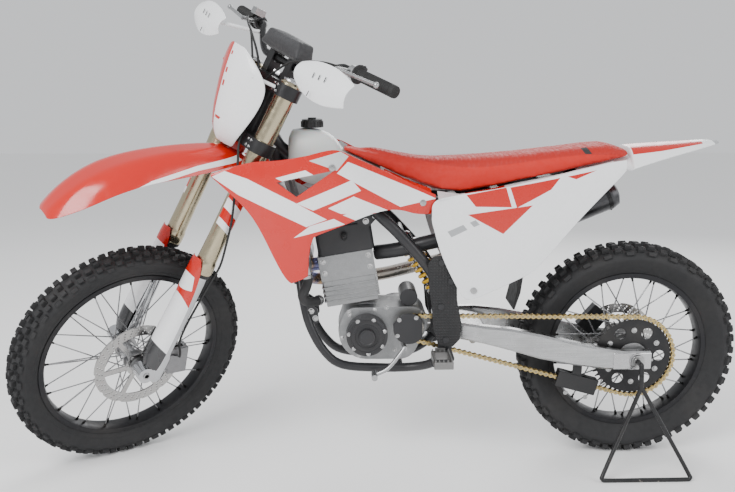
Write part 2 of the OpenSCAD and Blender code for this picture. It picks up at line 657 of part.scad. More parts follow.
// Height of the chain's lower run at x
function lower_run(x) =
    let (line = belt(0), a = line[12], b = line[13])
    a[1] + (b[1] - a[1]) * (x - a[0]) / (b[0] - a[0]);
guide_x = 585;
module chain_guide() {
    z = lower_run(guide_x);
    slope = atan2(lower_run(guide_x + 60) - lower_run(guide_x - 60), 120);
    color("#1c1c1e") on_chassis() {
        translate([guide_x, 0, z]) rotate([0, -slope, 0]) difference() {
            translate([-62, -chain_y - 16, -24]) cube([124, 32, 48]);
            translate([-63, -chain_y - chain_w / 2 - 3, -chain_h / 2 - 4])
                cube([126, chain_w + 6, chain_h + 8]);
        }
        // Hanger up beside the arm
        translate([guide_x - 14, -chain_y - 12.7, z + 20]) cube([28, 4.5, 78]);
    }
}

// ---- Rear axle, brake and stand ----
axle_end = 134;
axle_bore_r = 7.5;
module rear_axle() {
    color("#b9bbbd") at_rear_axle() {
        difference() {
            translate([0, 0, -axle_end]) cylinder(h = 2 * axle_end, r = rear_axle_r);
            translate([0, 0, -axle_end - 1]) cylinder(h = 2 * axle_end + 2, r = axle_bore_r);
        }
    }
    // Axle nuts and the spacers beside the hub
    color("#b9bbbd") at_rear_axle() for (side = [-1, 1]) {
        difference() {
            translate([0, 0, side * 127 - 4.5]) cylinder(h = 9, r = 19);
            translate([0, 0, side * 127 - 10]) cylinder(h = 20, r = rear_axle_r + pin_gap);
        }
        difference() {
            translate([0, 0, side * 88.5 - 3]) cylinder(h = 6, r = 18);
            translate([0, 0, side * 88.5 - 10]) cylinder(h = 20, r = rear_axle_r + pin_gap);
        }
    }
}
disc_t = 4;
rear_disc_y = 73;
module caliper_shape(disc_r, disc_at, near, far) {
    // Drawn over the top of an upright disc; near and far are its sides across the disc
    difference() {
        translate([-42, near, disc_r - 44]) cube([84, far - near, 60]);
        translate([-60, disc_at - disc_t / 2 - slot_gap, disc_r - 60])
            cube([120, disc_t + 2 * slot_gap, 60 + slot_gap]);
    }
}
module rear_caliper() {
    color("#2a2b2d") on_chassis() translate(rear_axle_pos) rotate([0, -50, 0])
        caliper_shape(rear_disc_r, rear_disc_y, rear_disc_y - 16, 91.6);
}
stand_peg_out = 26;
stand_axle = place(chassis_matrix, rear_axle_pos - [0, axle_end, 0]);
stand_out = place(chassis_matrix, rear_axle_pos - [0, axle_end + stand_peg_out, 0]);
stand_tip = place(chassis_matrix, rear_axle_pos - [0, axle_end - 34, 0]);
module wheel_stand() {
    head = stand_out + [0, 0, 0];
    foot_y = stand_axle.y - stand_reach;
    corner = 26;
    neck = [head.x, head.y - 8, head.z - 62];
    function foot(s) = [head.x + s * (stand_foot_w / 2), foot_y, stand_r];
    function foot_in(s) = [head.x + s * (stand_foot_w / 2 - corner), foot_y, stand_r];
    function leg_low(s) = foot(s) + corner * unit(neck - foot(s));
    loop = curve([neck, (neck + leg_low(-1)) / 2, leg_low(-1),
                  foot(-1) + [corner * 0.22, 0, corner * 0.14], foot_in(-1),
                  [head.x, foot_y, stand_r], foot_in(1),
                  foot(1) + [-corner * 0.22, 0, corner * 0.14], leg_low(1),
                  (neck + leg_low(1)) / 2, neck], 4);
    color("#141414") union() {
        for (i = [0:len(loop) - 2]) hull() {
            translate(loop[i]) sphere(r = stand_r, $fn = 16);
            translate(loop[i + 1]) sphere(r = stand_r, $fn = 16);
        }
        hull() {
            translate(neck) sphere(r = stand_r + 1, $fn = 16);
            translate(head) sphere(r = stand_r + 1, $fn = 16);
        }
        rod(head, stand_tip, axle_bore_r - 2 * pin_gap);
    }
}

// ---- Foot controls ----
peg = [172, plate_out + 7, 356];
module footpegs() {
    color("#6d6f71") on_chassis() both_sides() {
        translate(peg - [26, 0, 11]) difference() {
            cube([54, 98, 22]);
            translate([8, 18, -1]) cube([38, 72, 24]);
        }
        translate(peg - [14, 7 - seat_gap, 16]) cube([30, 7 - 2 * seat_gap, 34]);
    }
}
shift_path = [[70, -108, 372], [52, -116, 350], [20, -122, 314], [-14, -124, 298]];
brake_path = [[160, 124, 328], [100, 128, 300], [20, 132, 296], [-60, 128, 310]];
module foot_levers() {
    color("#b4b6b8") on_chassis() {
        pipe(curve(shift_path, 4), 6, 12);
        rod([-18, -112, 297], [-18, -150, 297], 9);
        rod([70, -case_half_w - seat_gap, 372], [70, -112, 372], 7);
        pipe(curve(brake_path, 4), 6, 12);
        translate([-92, 116, 302]) cube([34, 26, 8]);
        rod([166, plate_out + seat_gap, 326], [166, 128, 326], 9);
    }
}

// ---- Frame guards ----
guard_in = 119.4;
guard_outline = [[134, 628], [150, 648], [176, 650], [204, 630], [216, 590], [218, 520], [232, 450],
                 [228, 402], [208, 380], [172, 384], [152, 430], [146, 500], [136, 570]];
guard_skin = 4.8;
module frame_guards() {
    color("#161618") on_chassis() for (side = [-1, 1]) scale_side(side) {
        across(guard_in, guard_in + guard_skin) offset(r = 6) offset(delta = -6) intersection() {
            polygon(guard_outline);
            // The right guard stops under the exhaust
            square([400, side < 0 ? 660 : 516]);
        }
        // Foot on the pivot plate
        rod([188, plate_out + seat_gap, 384], [188, guard_in + 1, 384], 7);
    }
}

// ---- Fork ----
module clamp_plate() {
    difference() {
        linear_extrude(clamp_h) hull() {
            for (side = [-1, 1]) translate([-leg_offset, side * leg_y]) circle(r = leg_r + 9, $fn = 32);
            circle(r = 32, $fn = 32);
        }
        for (side = [-1, 1]) translate([-leg_offset, side * leg_y, -1])
            cylinder(h = clamp_h + 2, r = leg_r + pin_gap);
    }
}
riser_top = bar_w + 16;
module triple_clamps() {
    color("#1a1a1c") on_fork() {
        translate([0, 0, lower_clamp_w]) clamp_plate();
        translate([0, 0, upper_clamp_w]) clamp_plate();
        // Steering stem
        translate([0, 0, lower_clamp_w + clamp_h - 1])
            cylinder(h = upper_clamp_w - lower_clamp_w - clamp_h + 2, r = 14);
        translate([0, 0, upper_clamp_w + clamp_h - 0.01]) cylinder(h = 8, r = 17);
        // Bar mounts
        for (side = [-1, 1]) difference() {
            translate([-18, side * 50 - 14, upper_clamp_w + clamp_h - 0.01])
                cube([36, 28, riser_top - upper_clamp_w - clamp_h]);
            translate([0, side * 50 - 20, bar_w]) rotate([-90, 0, 0])
                cylinder(h = 40, r = bar_r + 3.2);
        }
    }
}
module on_legs() { for (side = [-1, 1]) translate([-leg_offset, side * leg_y, 0]) children(); }
module fork_tubes() {
    top = upper_clamp_w + clamp_h + 12;
    color("#b5a982") on_fork() on_legs() rotate_extrude() polygon([
        [0, leg_bottom_w], [leg_r - 1, leg_bottom_w], [leg_r + 1.5, leg_bottom_w + 6],
        [leg_r + 1.5, leg_bottom_w + 34], [leg_r - 1, leg_bottom_w + 44],
        [leg_r - 2, leg_bottom_w + 120], [leg_r - 1.5, lower_clamp_w - 60],
        [leg_r, lower_clamp_w - 30], [leg_r, top - 8], [leg_r - 8, top], [0, top]]);
}
lug_low_w = axle_w - 16;
module fork_sliders() {
    color("#c8ccd0") on_fork() difference() {
        union() {
            on_legs() rotate_extrude() polygon([
                [0, lug_low_w], [slider_r, lug_low_w], [slider_r + 4, lug_low_w + 10],
                [slider_r + 4, axle_w + 62], [slider_r, axle_w + 76],
                [slider_r, leg_bottom_w - seat_gap], [0, leg_bottom_w - seat_gap]]);
            for (side = [-1, 1]) translate([axle_u, side * leg_y - 23, axle_w]) rotate([-90, 0, 0])
                cylinder(h = 46, r = 24);
        }
        translate([axle_u, -150, axle_w]) rotate([-90, 0, 0])
            cylinder(h = 300, r = front_axle_r + pin_gap);
    }
}
guard_low_w = axle_w + 27;
guard_top_w = leg_bottom_w + 44;
guard_rows = [
    // height, radius, ahead, first angle, last angle
    [guard_low_w, 37, 8, 128, 255], [guard_low_w + 30, 40, 11, 126, 265],
    [guard_low_w + 100, 40, 10, 124, 266], [guard_low_w + 200, 38, 6, 118, 262],
    [guard_top_w - 70, 38, 6, 118, 255], [guard_top_w - 24, 38, 6, 126, 240],
    [guard_top_w, 37, 4, 145, 215]];
function guard_sheet(in) = [for (s = guard_rows)
    [for (j = [0:10])
        let (a = s[3] + (s[4] - s[3]) * j / 10)
        [-leg_offset - s[2] + (s[1] - in) * cos(a), -leg_y - (s[1] - in) * sin(a) * -1, s[0]]]];
module fork_guards() {
    color("#f4f4f4") on_fork() both_sides() mirror([0, 1, 0]) {
        slab(guard_sheet(skin), guard_sheet(0));
        // Stay to the foot of the leg
        rod([-leg_offset - slider_r - 4.3, -leg_y, axle_w + 50],
            [-leg_offset - 48.5, -leg_y, axle_w + 50], 6);
    }
}
module front_axle() {
    color("#b9bbbd") at_front_axle() {
        difference() {
            translate([0, 0, -leg_y - 26]) cylinder(h = 2 * leg_y + 52, r = front_axle_r);
            translate([0, 0, -leg_y - 27]) cylinder(h = 2 * leg_y + 54, r = axle_bore_r - 1);
        }
        for (side = [-1, 1]) difference() {
            translate([0, 0, side * 71 - 7.5]) cylinder(h = 15, r = 16);
            translate([0, 0, side * 71 - 10]) cylinder(h = 20, r = front_axle_r + pin_gap);
        }
    }
}
front_disc_y = -62;
caliper_turn = 71;
module front_caliper() {
    color("#9b9da0") on_fork() {
        translate([axle_u, 0, axle_w]) rotate([0, caliper_turn, 0])
            caliper_shape(front_disc_r, front_disc_y, front_disc_y - 19, front_disc_y + 19);
        // Bracket from the foot of the left leg
        difference() {
            translate([-leg_offset, front_disc_y - 27, axle_w + 10]) cube([70, 8.1, 46]);
            translate([-leg_offset, -leg_y, axle_w - 40])
                cylinder(h = 160, r = slider_r + 4 + seat_gap);
        }
    }
}

// ---- Front plastics ----
front_fender_rows = [
    // x from the front axle, middle z, edge z, half width
    [-205, 868, 864, 34], [-196, 882, 868, 52], [-160, 914, 884, 74], [-110, 944, 902, 88],
    [-60, 964, 920, 94], [-10, 976, 930, 94], [60, 984, 934, 88], [150, 984, 930, 80],
    [230, 978, 928, 72], [290, 970, 930, 66], [330, 956, 930, 60], [366, 934, 914, 54],
    [384, 910, 896, 50]];
module front_fender() {
    rows = [for (s = front_fender_rows) [front_x + s[0], s[1] - 6, s[2] - 6, s[3]]];
    color("#f0391f") {
        on_steering() slab(fender_sheet(rows, 0, 0.3), fender_sheet(rows, skin, 0.3));
        // Boss up to the lower clamp
        on_fork() translate([-20, 0, lower_clamp_w - 30]) cylinder(h = 30 - seat_gap, r = 22);
    }
}
plate_rows = [
    // height, middle ahead, half width, edge ahead
    [1056, 90, 40, 66], [1080, 114, 64, 82], [1130, 132, 88, 84], [1190, 146, 106, 84],
    [1240, 155, 114, 92], [1270, 159, 106, 112], [1310, 162, 54, 150], [1318, 162, 30, 158]];
function plate_sheet(in) = [for (s = plate_rows)
    [for (j = [0:12])
        let (t = j / 6 - 1)
        [-s[1] + (s[1] - s[3]) * pow(abs(t), 2.2) + in, s[2] * t, s[0]]]];
module number_plate() {
    color("#f4f4f4") on_fork() {
        slab(plate_sheet(0), plate_sheet(skin));
        // Stays back to the upper clamp
        both_sides() rod([-leg_offset - leg_r - 11, 98, 1262], [-129.5, 80, 1262], 5);
    }
}

// ---- Handlebar ----
grip_dir = unit([18, 143, 4]);
grip_in = bar_end - grip_len * grip_dir;
straight_in = bar_end - 165 * grip_dir;
bar_half = [[0, 0, bar_w], [0, 60, bar_w], [0, 105, bar_w], [6, 150, bar_w + 22],
            [20, 195, bar_w + 50], straight_in - 25 * grip_dir, straight_in];
bar_path = concat([for (i = [len(bar_half) - 1:-1:1]) flip(bar_half[i], -1)], bar_half);
module handlebar() {
    color("#1d1d1f") on_fork() {
        pipe(curve(bar_path, 4), bar_r, 16, [1, 0, 0.05]);
        both_sides() rod(straight_in - 2 * grip_dir, bar_end, bar_r + 0.01);
    }
}
module grips() {
    color("#161616") on_fork() both_sides() difference() {
        union() {
            rod(grip_in, bar_end + 4 * grip_dir, grip_r);
            rod(grip_in - 9 * grip_dir, grip_in + 0.5 * grip_dir, grip_r + 9);
        }
        rod(grip_in - 20 * grip_dir, bar_end + seat_gap * grip_dir, bar_r + seat_gap);
    }
}
module bar_pad() {
    color("#121213") on_fork() hull() for (side = [-1, 1]) {
        translate([-34, side * 92, riser_top + 9.3]) sphere(r = 9, $fn = 16);
        translate([18, side * 92, riser_top + 9.3]) sphere(r = 9, $fn = 16);
        translate([-34, side * 78, riser_top + 48]) sphere(r = 9, $fn = 16);
        translate([8, side * 78, riser_top + 52]) sphere(r = 9, $fn = 16);
    }
}
hand_rows = [
    // y, back from the axis, low and high edges from the bar's height
    [212, -112, -18, 30], [255, -110, -38, 48], [310, -105, -46, 56], [365, -99, -40, 54],
    [412, -90, -22, 38]];
function hand_sheet(in) = [for (h = hand_rows)
    [for (j = [0:6])
        let (s = j / 3 - 1)
        [h[1] + 12 * s * s + in, h[0], bar_w + (h[2] + h[3]) / 2 + s * (h[3] - h[2]) / 2]]];
module handguards() {
    color("#f4f4f4") on_fork() both_sides() {
        slab(hand_sheet(skin), hand_sheet(0));
        // Arm back to the bar
        rod([-106, 232, bar_w + 10], [4, 184, bar_w + 38], 6);
    }
}
module hand_levers() {
    color("#a7a9ab") on_fork() both_sides() {
        // Perch round the bar
        difference() {
            rod(straight_in + 2 * grip_dir, straight_in + 22 * grip_dir, 18);
            rod(straight_in - 2 * grip_dir, straight_in + 26 * grip_dir, bar_r + seat_gap);
        }
        // Lever blade
        rod([16, 252, bar_w + 60], [-26, 256, bar_w + 52], 6.5);
        rod([-26, 250, bar_w + 52], [2, 390, bar_w + 62], 5);
    }
    // Brake fluid reservoir, right
    color("#a7a9ab") on_fork() translate([-2, 240, bar_w + 78]) cube([36, 24, 20]);
}
hose_path = [[-8, 244, 1394], [-34, 214, 1390], [-58, 160, 1376], [-72, 90, 1352], [-76, 0, 1296],
             [-73, -46, 1220], [-69, -58, 1140], [-68, -68, 1080], [-64, -98, 1030],
             [-54, -128, 960], [-30, -140, 880], [-8, -138, 800], [8, -131, 740], [15, -114, 680],
             [16, -104, 600], [16, -98, 520], [22, -96, 470], [40, -96, 436], [50, -90, 420],
             [52, -85.5, 417]];
module brake_hose() {
    color("#141414") on_fork() pipe(curve(hose_path, 5), 3.5, 8, [0.2, 1, 0.1]);
}

// ---- Wheels: drawn round their own axle, with z to the rider's right ----
module tyre(r, shoulder, flat, bed_r, rim_w) {
    centre = r - shoulder;
    bead = rim_w / 2 - 5;
    side = [for (a = [0:10:140]) [centre + shoulder * cos(a), flat + shoulder * sin(a)]];
    half = concat(side, [[bed_r + 16, bead + 1.5], [bed_r + seat_gap, bead]]);
    rotate_extrude($fn = 96) polygon(concat(half,
        [for (i = [len(half) - 1:-1:0]) [half[i][0], -half[i][1]]]));
}
module rim(bed_r, rim_w) {
    half = rim_w / 2;
    rotate_extrude($fn = 96) polygon([[bed_r - 7, -half * 0.62], [bed_r - 3, -half],
        [bed_r + 11, -half], [bed_r + 11, -half + 3], [bed_r, -half + 4], [bed_r, half - 4],
        [bed_r + 11, half - 3], [bed_r + 11, half], [bed_r - 3, half], [bed_r - 7, half * 0.62]]);
}
// Eighteen spokes from each flange, crossing in pairs
module spokes(flange_r, flange_z, rim_in, spoke_r) {
    for (side = [-1, 1], i = [0:8], lay = [-1, 1]) {
        at = i * 40 + (side < 0 ? 20 : 0) + lay * 6;
        to = at + lay * 62;
        a = [flange_r * cos(at), flange_r * sin(at), side * flange_z + lay * 4];
        b = [rim_in * cos(to), rim_in * sin(to), side * 9 + lay * 2.5];
        rod(a, b, spoke_r);
    }
}
module hub(core_r, half_len, flange_r, flange_z, bore_r) {
    difference() {
        union() {
            translate([0, 0, -half_len]) cylinder(h = 2 * half_len, r = core_r);
            for (side = [-1, 1]) translate([0, 0, side * flange_z - 2]) cylinder(h = 4, r = flange_r);
        }
        translate([0, 0, -half_len - 1]) cylinder(h = 2 * half_len + 2, r = bore_r);
    }
}
module brake_disc(disc_r, z, hub_r) {
    translate([0, 0, z - disc_t / 2]) {
        difference() {
            cylinder(h = disc_t, r = disc_r, $fn = 96);
            translate([0, 0, -1]) cylinder(h = disc_t + 2, r = disc_r - 30, $fn = 96);
        }
        for (i = [0:5]) rotate([0, 0, 60 * i]) translate([hub_r + 8, -7, 0])
            cube([disc_r - 28 - hub_r - 8, 14, disc_t]);
        difference() {
            cylinder(h = disc_t, r = hub_r + 12);
            translate([0, 0, -1]) cylinder(h = disc_t + 2, r = hub_r + seat_gap);
        }
    }
}

front_flange_r = 40;
rear_flange_r = 62;
module front_tyre() {
    color("#1a1a1a") at_front_axle()
        tyre(front_tyre_r, front_shoulder_r, front_tread_half, front_bed_r, front_rim_w);
}
module front_rim() { color("#121214") at_front_axle() rim(front_bed_r, front_rim_w); }
module front_spokes() {
    color("#9a9c9e") at_front_axle() spokes(front_flange_r - 4, 34, front_bed_r - 7.4, 1.8);
}
module front_hub() {
    color("#a5a7a9") at_front_axle()
        hub(24, 63, front_flange_r - 6.2, 34, front_axle_r + pin_gap);
}
module front_disc() { color("#b8babc") at_front_axle() brake_disc(front_disc_r, front_disc_y, 24); }
module rear_tyre() {
    color("#1a1a1a") at_rear_axle()
        tyre(rear_tyre_r, rear_shoulder_r, rear_tread_half, rear_bed_r, rear_rim_w);
}
module rear_rim() { color("#121214") at_rear_axle() rim(rear_bed_r, rear_rim_w); }
module rear_spokes() {
    color("#9a9c9e") at_rear_axle() spokes(rear_flange_r - 4, 30, rear_bed_r - 7.4, 2);
}
module rear_hub() {
    color("#a5a7a9") at_rear_axle()
        hub(42, 85, rear_flange_r - 6.4, 30, rear_axle_r + pin_gap);
}
module rear_disc() { color("#b8babc") at_rear_axle() brake_disc(rear_disc_r, rear_disc_y, 42); }
module rear_sprocket() {
    color("#161617") at_rear_axle() translate([0, 0, -chain_y - 3]) difference() {
        cylinder(h = 6, r = rear_root_r, $fn = 96);
        translate([0, 0, -1]) cylinder(h = 8, r = 42 + seat_gap);
        for (i = [0:5]) rotate([0, 0, 60 * i]) translate([80, 0, -1]) cylinder(h = 8, r = 17);
    }
}

main_frame();
subframe();
crankcase();
cylinder_block();
head_cover();
engine_covers();
radiators();
coolant_hoses();
exhaust_pipe();
silencer();
intake();
fuel_tank();
fuel_cap();
seat();
radiator_shrouds();
side_panels();
rear_fender();
mud_flap();
swingarm();
shock_absorber();
chain();
drive_sprocket();
chain_guide();
rear_axle();
rear_caliper();
footpegs();
foot_levers();
frame_guards();
wheel_stand();
triple_clamps();
fork_tubes();
fork_sliders();
fork_guards();
front_axle();
front_fender();
number_plate();
handlebar();
bar_pad();
grips();
handguards();
hand_levers();
front_caliper();
brake_hose();
front_tyre();
front_rim();
front_spokes();
front_hub();
front_disc();
rear_tyre();
rear_rim();
rear_spokes();
rear_hub();
rear_disc();
rear_sprocket();
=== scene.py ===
"""Dirt bike leaning on a prop stand: the looks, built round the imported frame."""
import json
import math

import bmesh
import bpy
from mathutils import Euler, Matrix, Vector

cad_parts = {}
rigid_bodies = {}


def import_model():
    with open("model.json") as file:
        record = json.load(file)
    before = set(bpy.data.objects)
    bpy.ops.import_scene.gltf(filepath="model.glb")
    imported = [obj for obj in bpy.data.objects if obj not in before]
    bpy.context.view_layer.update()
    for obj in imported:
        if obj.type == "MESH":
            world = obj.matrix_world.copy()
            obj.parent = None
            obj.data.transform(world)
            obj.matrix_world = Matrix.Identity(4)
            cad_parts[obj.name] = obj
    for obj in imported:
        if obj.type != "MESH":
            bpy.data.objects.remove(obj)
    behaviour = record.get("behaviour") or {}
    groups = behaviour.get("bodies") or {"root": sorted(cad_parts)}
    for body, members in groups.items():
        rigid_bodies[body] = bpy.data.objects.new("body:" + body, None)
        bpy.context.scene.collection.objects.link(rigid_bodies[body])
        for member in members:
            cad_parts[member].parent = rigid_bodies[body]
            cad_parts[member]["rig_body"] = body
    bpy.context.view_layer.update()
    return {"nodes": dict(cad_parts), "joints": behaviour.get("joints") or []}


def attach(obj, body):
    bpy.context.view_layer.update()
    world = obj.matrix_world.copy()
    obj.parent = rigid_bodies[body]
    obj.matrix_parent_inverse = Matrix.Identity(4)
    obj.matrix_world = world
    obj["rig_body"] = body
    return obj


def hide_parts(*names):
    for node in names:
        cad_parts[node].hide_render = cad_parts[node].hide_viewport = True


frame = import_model()


# Floor, lights and camera. A pale sweep of floor under a big soft key from the front left,
# a weak fill from the right and a pale sky, seen from the bike's left at chest height.
FLOOR_SIZE, FLOOR_COLOUR = 40, (0.93, 0.93, 0.925)
SKY_COLOUR, SKY_STRENGTH = (0.96, 0.975, 1.0, 1), 0.85
KEY_PLACE, KEY_SIZE, KEY_POWER = (-2.2, -3.2, 3.6), 2.6, 240
FILL_PLACE, FILL_SIZE, FILL_POWER = (3.4, -2.0, 2.2), 2.4, 60
RIM_PLACE, RIM_SIZE, RIM_POWER = (1.2, 3.6, 2.8), 2.4, 80
CAMERA_PLACE = (-0.130, -2.392, 1.033)
CAMERA_TURN, CAMERA_DIP = -1.81, 8.96
LENS, SENSOR = 41.05, 36.0


def material_of(name, colour, roughness):
    material = bpy.data.materials.new(name)
    material.use_nodes = True
    shader = material.node_tree.nodes["Principled BSDF"]
    shader.inputs["Base Color"].default_value = (*colour, 1)
    shader.inputs["Roughness"].default_value = roughness
    return material


def add_object(name, bm, material):
    mesh = bpy.data.meshes.new(name)
    bm.to_mesh(mesh)
    bm.free()
    obj = bpy.data.objects.new(name, mesh)
    bpy.context.scene.collection.objects.link(obj)
    mesh.materials.append(material)
    return obj


def soft_light(name, place, size, power):
    light = bpy.data.lights.new(name, "AREA")
    light.size = size
    light.energy = power
    obj = bpy.data.objects.new(name, light)
    obj.location = place
    obj.rotation_euler = (Vector((0, 0, 0.6)) - Vector(place)).to_track_quat("-Z", "Y").to_euler()
    bpy.context.scene.collection.objects.link(obj)


bm = bmesh.new()
bmesh.ops.create_grid(bm, x_segments=1, y_segments=1, size=FLOOR_SIZE / 2)
add_object("floor", bm, material_of("pale_floor", FLOOR_COLOUR, 0.9))
soft_light("key_light", KEY_PLACE, KEY_SIZE, KEY_POWER)
soft_light("fill_light", FILL_PLACE, FILL_SIZE, FILL_POWER)
soft_light("rim_light", RIM_PLACE, RIM_SIZE, RIM_POWER)
world = bpy.data.worlds.new("sky")
world.use_nodes = True
world.node_tree.nodes["Background"].inputs["Color"].default_value = SKY_COLOUR
world.node_tree.nodes["Background"].inputs["Strength"].default_value = SKY_STRENGTH
bpy.context.scene.world = world

camera = bpy.data.objects.new("camera", bpy.data.cameras.new("camera"))
camera.data.lens = LENS
camera.data.sensor_width = SENSOR
camera.location = CAMERA_PLACE
camera.rotation_euler = (math.radians(90 - CAMERA_DIP), 0, math.radians(CAMERA_TURN))
bpy.context.scene.collection.objects.link(camera)
bpy.context.scene.camera = camera


# Wheels: 21 inch front and 18 inch rear, each a knobbly tyre on an anodised rim laced with
# 36 steel spokes to an alloy hub. The tyres are a carcass of rotation with moulded knobs;
# rims, spokes and hubs are the frame's own solids with welded, softened skins.
#
# The bike leans and pitches, in degrees, and its front end is steered about a raked axis.
# Its frames: CHASSIS upright, STEERING steered, FORK with z up the steering axis, and WHEELS
# with z along the axles.
LEAN, PITCH = 4.0, -0.268859
CASTER, STEER = 27.0, 38.0
AXLE_PLACES = {"front": Vector((-0.75, 0, 0.3465)), "rear": Vector((0.75, 0, 0.328))}
STEER_FOOT = Vector((-0.867, 0, 0))

at = Matrix.Translation


def rotation(degrees, axis):
    return Matrix.Rotation(math.radians(degrees), 4, axis)


joint_places = {joint["name"]: Vector(joint["pos_m"]) for joint in frame["joints"]}
leaned = Euler((math.radians(LEAN), math.radians(PITCH), 0)).to_matrix().to_4x4()
CHASSIS = at(joint_places["rear_wheel_spin"] - leaned @ AXLE_PLACES["rear"]) @ leaned
steer_axis = Vector((math.sin(math.radians(CASTER)), 0, math.cos(math.radians(CASTER))))
STEERING = CHASSIS @ at(STEER_FOOT) @ rotation(STEER, steer_axis) @ at(-STEER_FOOT)
FORK = STEERING @ at(STEER_FOOT) @ rotation(CASTER, "Y")
flat_turn = rotation(-90, "X")
WHEELS = {"front": STEERING @ at(AXLE_PLACES["front"]) @ flat_turn,
          "rear": CHASSIS @ at(AXLE_PLACES["rear"]) @ flat_turn}


class Wire:
    """An output of a finish's nodes. Arithmetic on wires adds Math nodes."""

    def __init__(self, finish, socket):
        self.finish = finish
        self.socket = socket

    def math(self, operation, *values):
        return self.finish.add("Math", {"operation": operation}, dict(enumerate((self, *values))))

    def __add__(self, other):
        return self.math("ADD", other)

    def __sub__(self, other):
        return self.math("SUBTRACT", other)

    def __mul__(self, other):
        return self.math("MULTIPLY", other)

    def over(self, edge):
        return self.math("GREATER_THAN", edge)

    def spread(self, low, high, to_low=0.0, to_high=1.0):
        return self.finish.add("MapRange", {"interpolation_type": "SMOOTHSTEP"},
                               {0: self, 1: low, 2: high, 3: to_low, 4: to_high})


class Finish:
    """One Principled material of the bike, with the nodes that vary it over a surface."""

    def __init__(self, name, colour, roughness, metallic=0.0, **fixed):
        self.material = material_of(name, colour, roughness)
        self.nodes = self.material.node_tree.nodes
        self.links = self.material.node_tree.links
        self.shader = self.nodes["Principled BSDF"]
        self.colour = (*colour, 1)
        self.roughness = roughness
        self.shader.inputs["Metallic"].default_value = metallic
        for socket, value in fixed.items():
            self.shader.inputs[socket.replace("_", " ")].default_value = value
        self.point = self.add("TexCoord", out="Object")

    def add(self, kind, settings=None, inputs=None, out=0):
        node = self.nodes.new("ShaderNode" + kind)
        for name, value in (settings or {}).items():
            setattr(node, name, value)
        for key, value in (inputs or {}).items():
            if isinstance(value, Wire):
                self.links.new(value.socket, node.inputs[key])
            else:
                node.inputs[key].default_value = value
        return Wire(self, node.outputs[out])

    def feed(self, socket, wire):
        self.links.new(wire.socket, self.shader.inputs[socket])

    def seen_from(self, matrix):
        """The surface point in a leaned or steered frame of the bike."""
        return self.add("Mapping", {"vector_type": "TEXTURE"},
                        {"Vector": self.point, "Location": matrix.to_translation(),
                         "Rotation": matrix.to_euler()})

    def parts_of(self, point):
        node = self.nodes.new("ShaderNodeSeparateXYZ")
        self.links.new(point.socket, node.inputs[0])
        return [Wire(self, output) for output in node.outputs]

    def noise(self, scale, detail=3.0, stretch=(1, 1, 1), point=None):
        stretched = self.add("Mapping", None, {"Vector": point or self.point, "Scale": stretch})
        return self.add("TexNoise", None, {"Vector": stretched, "Scale": scale, "Detail": detail})

    def mix(self, factor, first, second):
        return self.add("Mix", {"data_type": "RGBA"}, {0: factor, 6: first, 7: second}, out=2)

    def bump(self, height, distance, strength=1.0):
        self.feed("Normal", self.add("Bump", None, {"Height": height, "Distance": distance,
                                                    "Strength": strength}))

    def worn(self, colour=None, dust=0.08, tint=(0.11, 0.10, 0.09, 1), scuff=0.12, cells=60):
        """Cloudy roughness, and dust that thickens towards the floor."""
        cloud = self.noise(9, 5)
        height = self.parts_of(self.point)[2]
        settled = cloud.spread(0.42, 0.75) * height.spread(0.15, 1.15, dust, dust * 0.25)
        self.feed("Base Color", self.mix(settled, colour or self.colour, tint))
        fine = self.noise(cells, 4).spread(0.35, 0.7)
        self.feed("Roughness", fine * scuff + settled * 0.35 + (self.roughness - scuff / 2))
        return self


def rubber(name, colour, roughness=0.75, dust=0.10):
    finish = Finish(name, colour, roughness, Specular_IOR_Level=0.3)
    finish.worn(dust=dust)
    finish.bump(finish.noise(900, 3), 0.0004, 0.6)
    return finish


# Bare metal mirrors the bright room, so its colours are taken down by this
METAL_TONE = 0.76
METAL_DUST, METAL_DUST_COLOUR = 0.12, (0.16, 0.145, 0.125, 1)


def metal(name, colour, roughness, cells=260, depth=0.0003, stretch=(1, 1, 1), metallic=1.0):
    """Cast, forged or turned alloy: a grain of that many cells a metre over a worn sheen."""
    finish = Finish(name, [channel * METAL_TONE for channel in colour], roughness, metallic)
    grain = finish.noise(cells, 3, stretch)
    shade = finish.mix(grain.spread(0.3, 0.7), finish.colour, [c * 0.86 for c in finish.colour[:3]] + [1])
    finish.worn(shade, METAL_DUST, METAL_DUST_COLOUR)
    finish.bump(grain, depth, 0.7)
    return finish


def copy_of(node):
    """A merged copy of a CAD node's mesh, with its flat faces whole again."""
    bm = bmesh.new()
    bm.from_mesh(frame["nodes"][node].data)
    bmesh.ops.remove_doubles(bm, verts=bm.verts, dist=0.00002)
    bmesh.ops.dissolve_limit(bm, angle_limit=math.radians(0.6), verts=bm.verts, edges=bm.edges)
    return bm


def fit(name, bm, finish, node, replaces=False, soften=0.0, levels=0, sharp=34):
    """Make a bmesh a piece that rides with a CAD node."""
    for edge in bm.edges:
        edge.smooth = len(edge.link_faces) == 2 and edge.calc_face_angle(0) < math.radians(sharp)
    for face in bm.faces:
        face.smooth = True
    obj = add_object(name, bm, finish.material)
    if levels:
        surface = obj.modifiers.new("surface", "SUBSURF")
        surface.levels = surface.render_levels = levels
    if soften:
        edge = obj.modifiers.new("edges", "BEVEL")
        edge.width = soften
        edge.segments = 2
        edge.angle_limit = math.radians(sharp)
        edge.harden_normals = True
    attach(obj, frame["nodes"][node]["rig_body"])
    if replaces:
        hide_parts(node)
    return obj


def dress(node, finish, soften=0.0006, sharp=34):
    return fit(node + "_body", copy_of(node), finish, node, True, soften, 0, sharp)


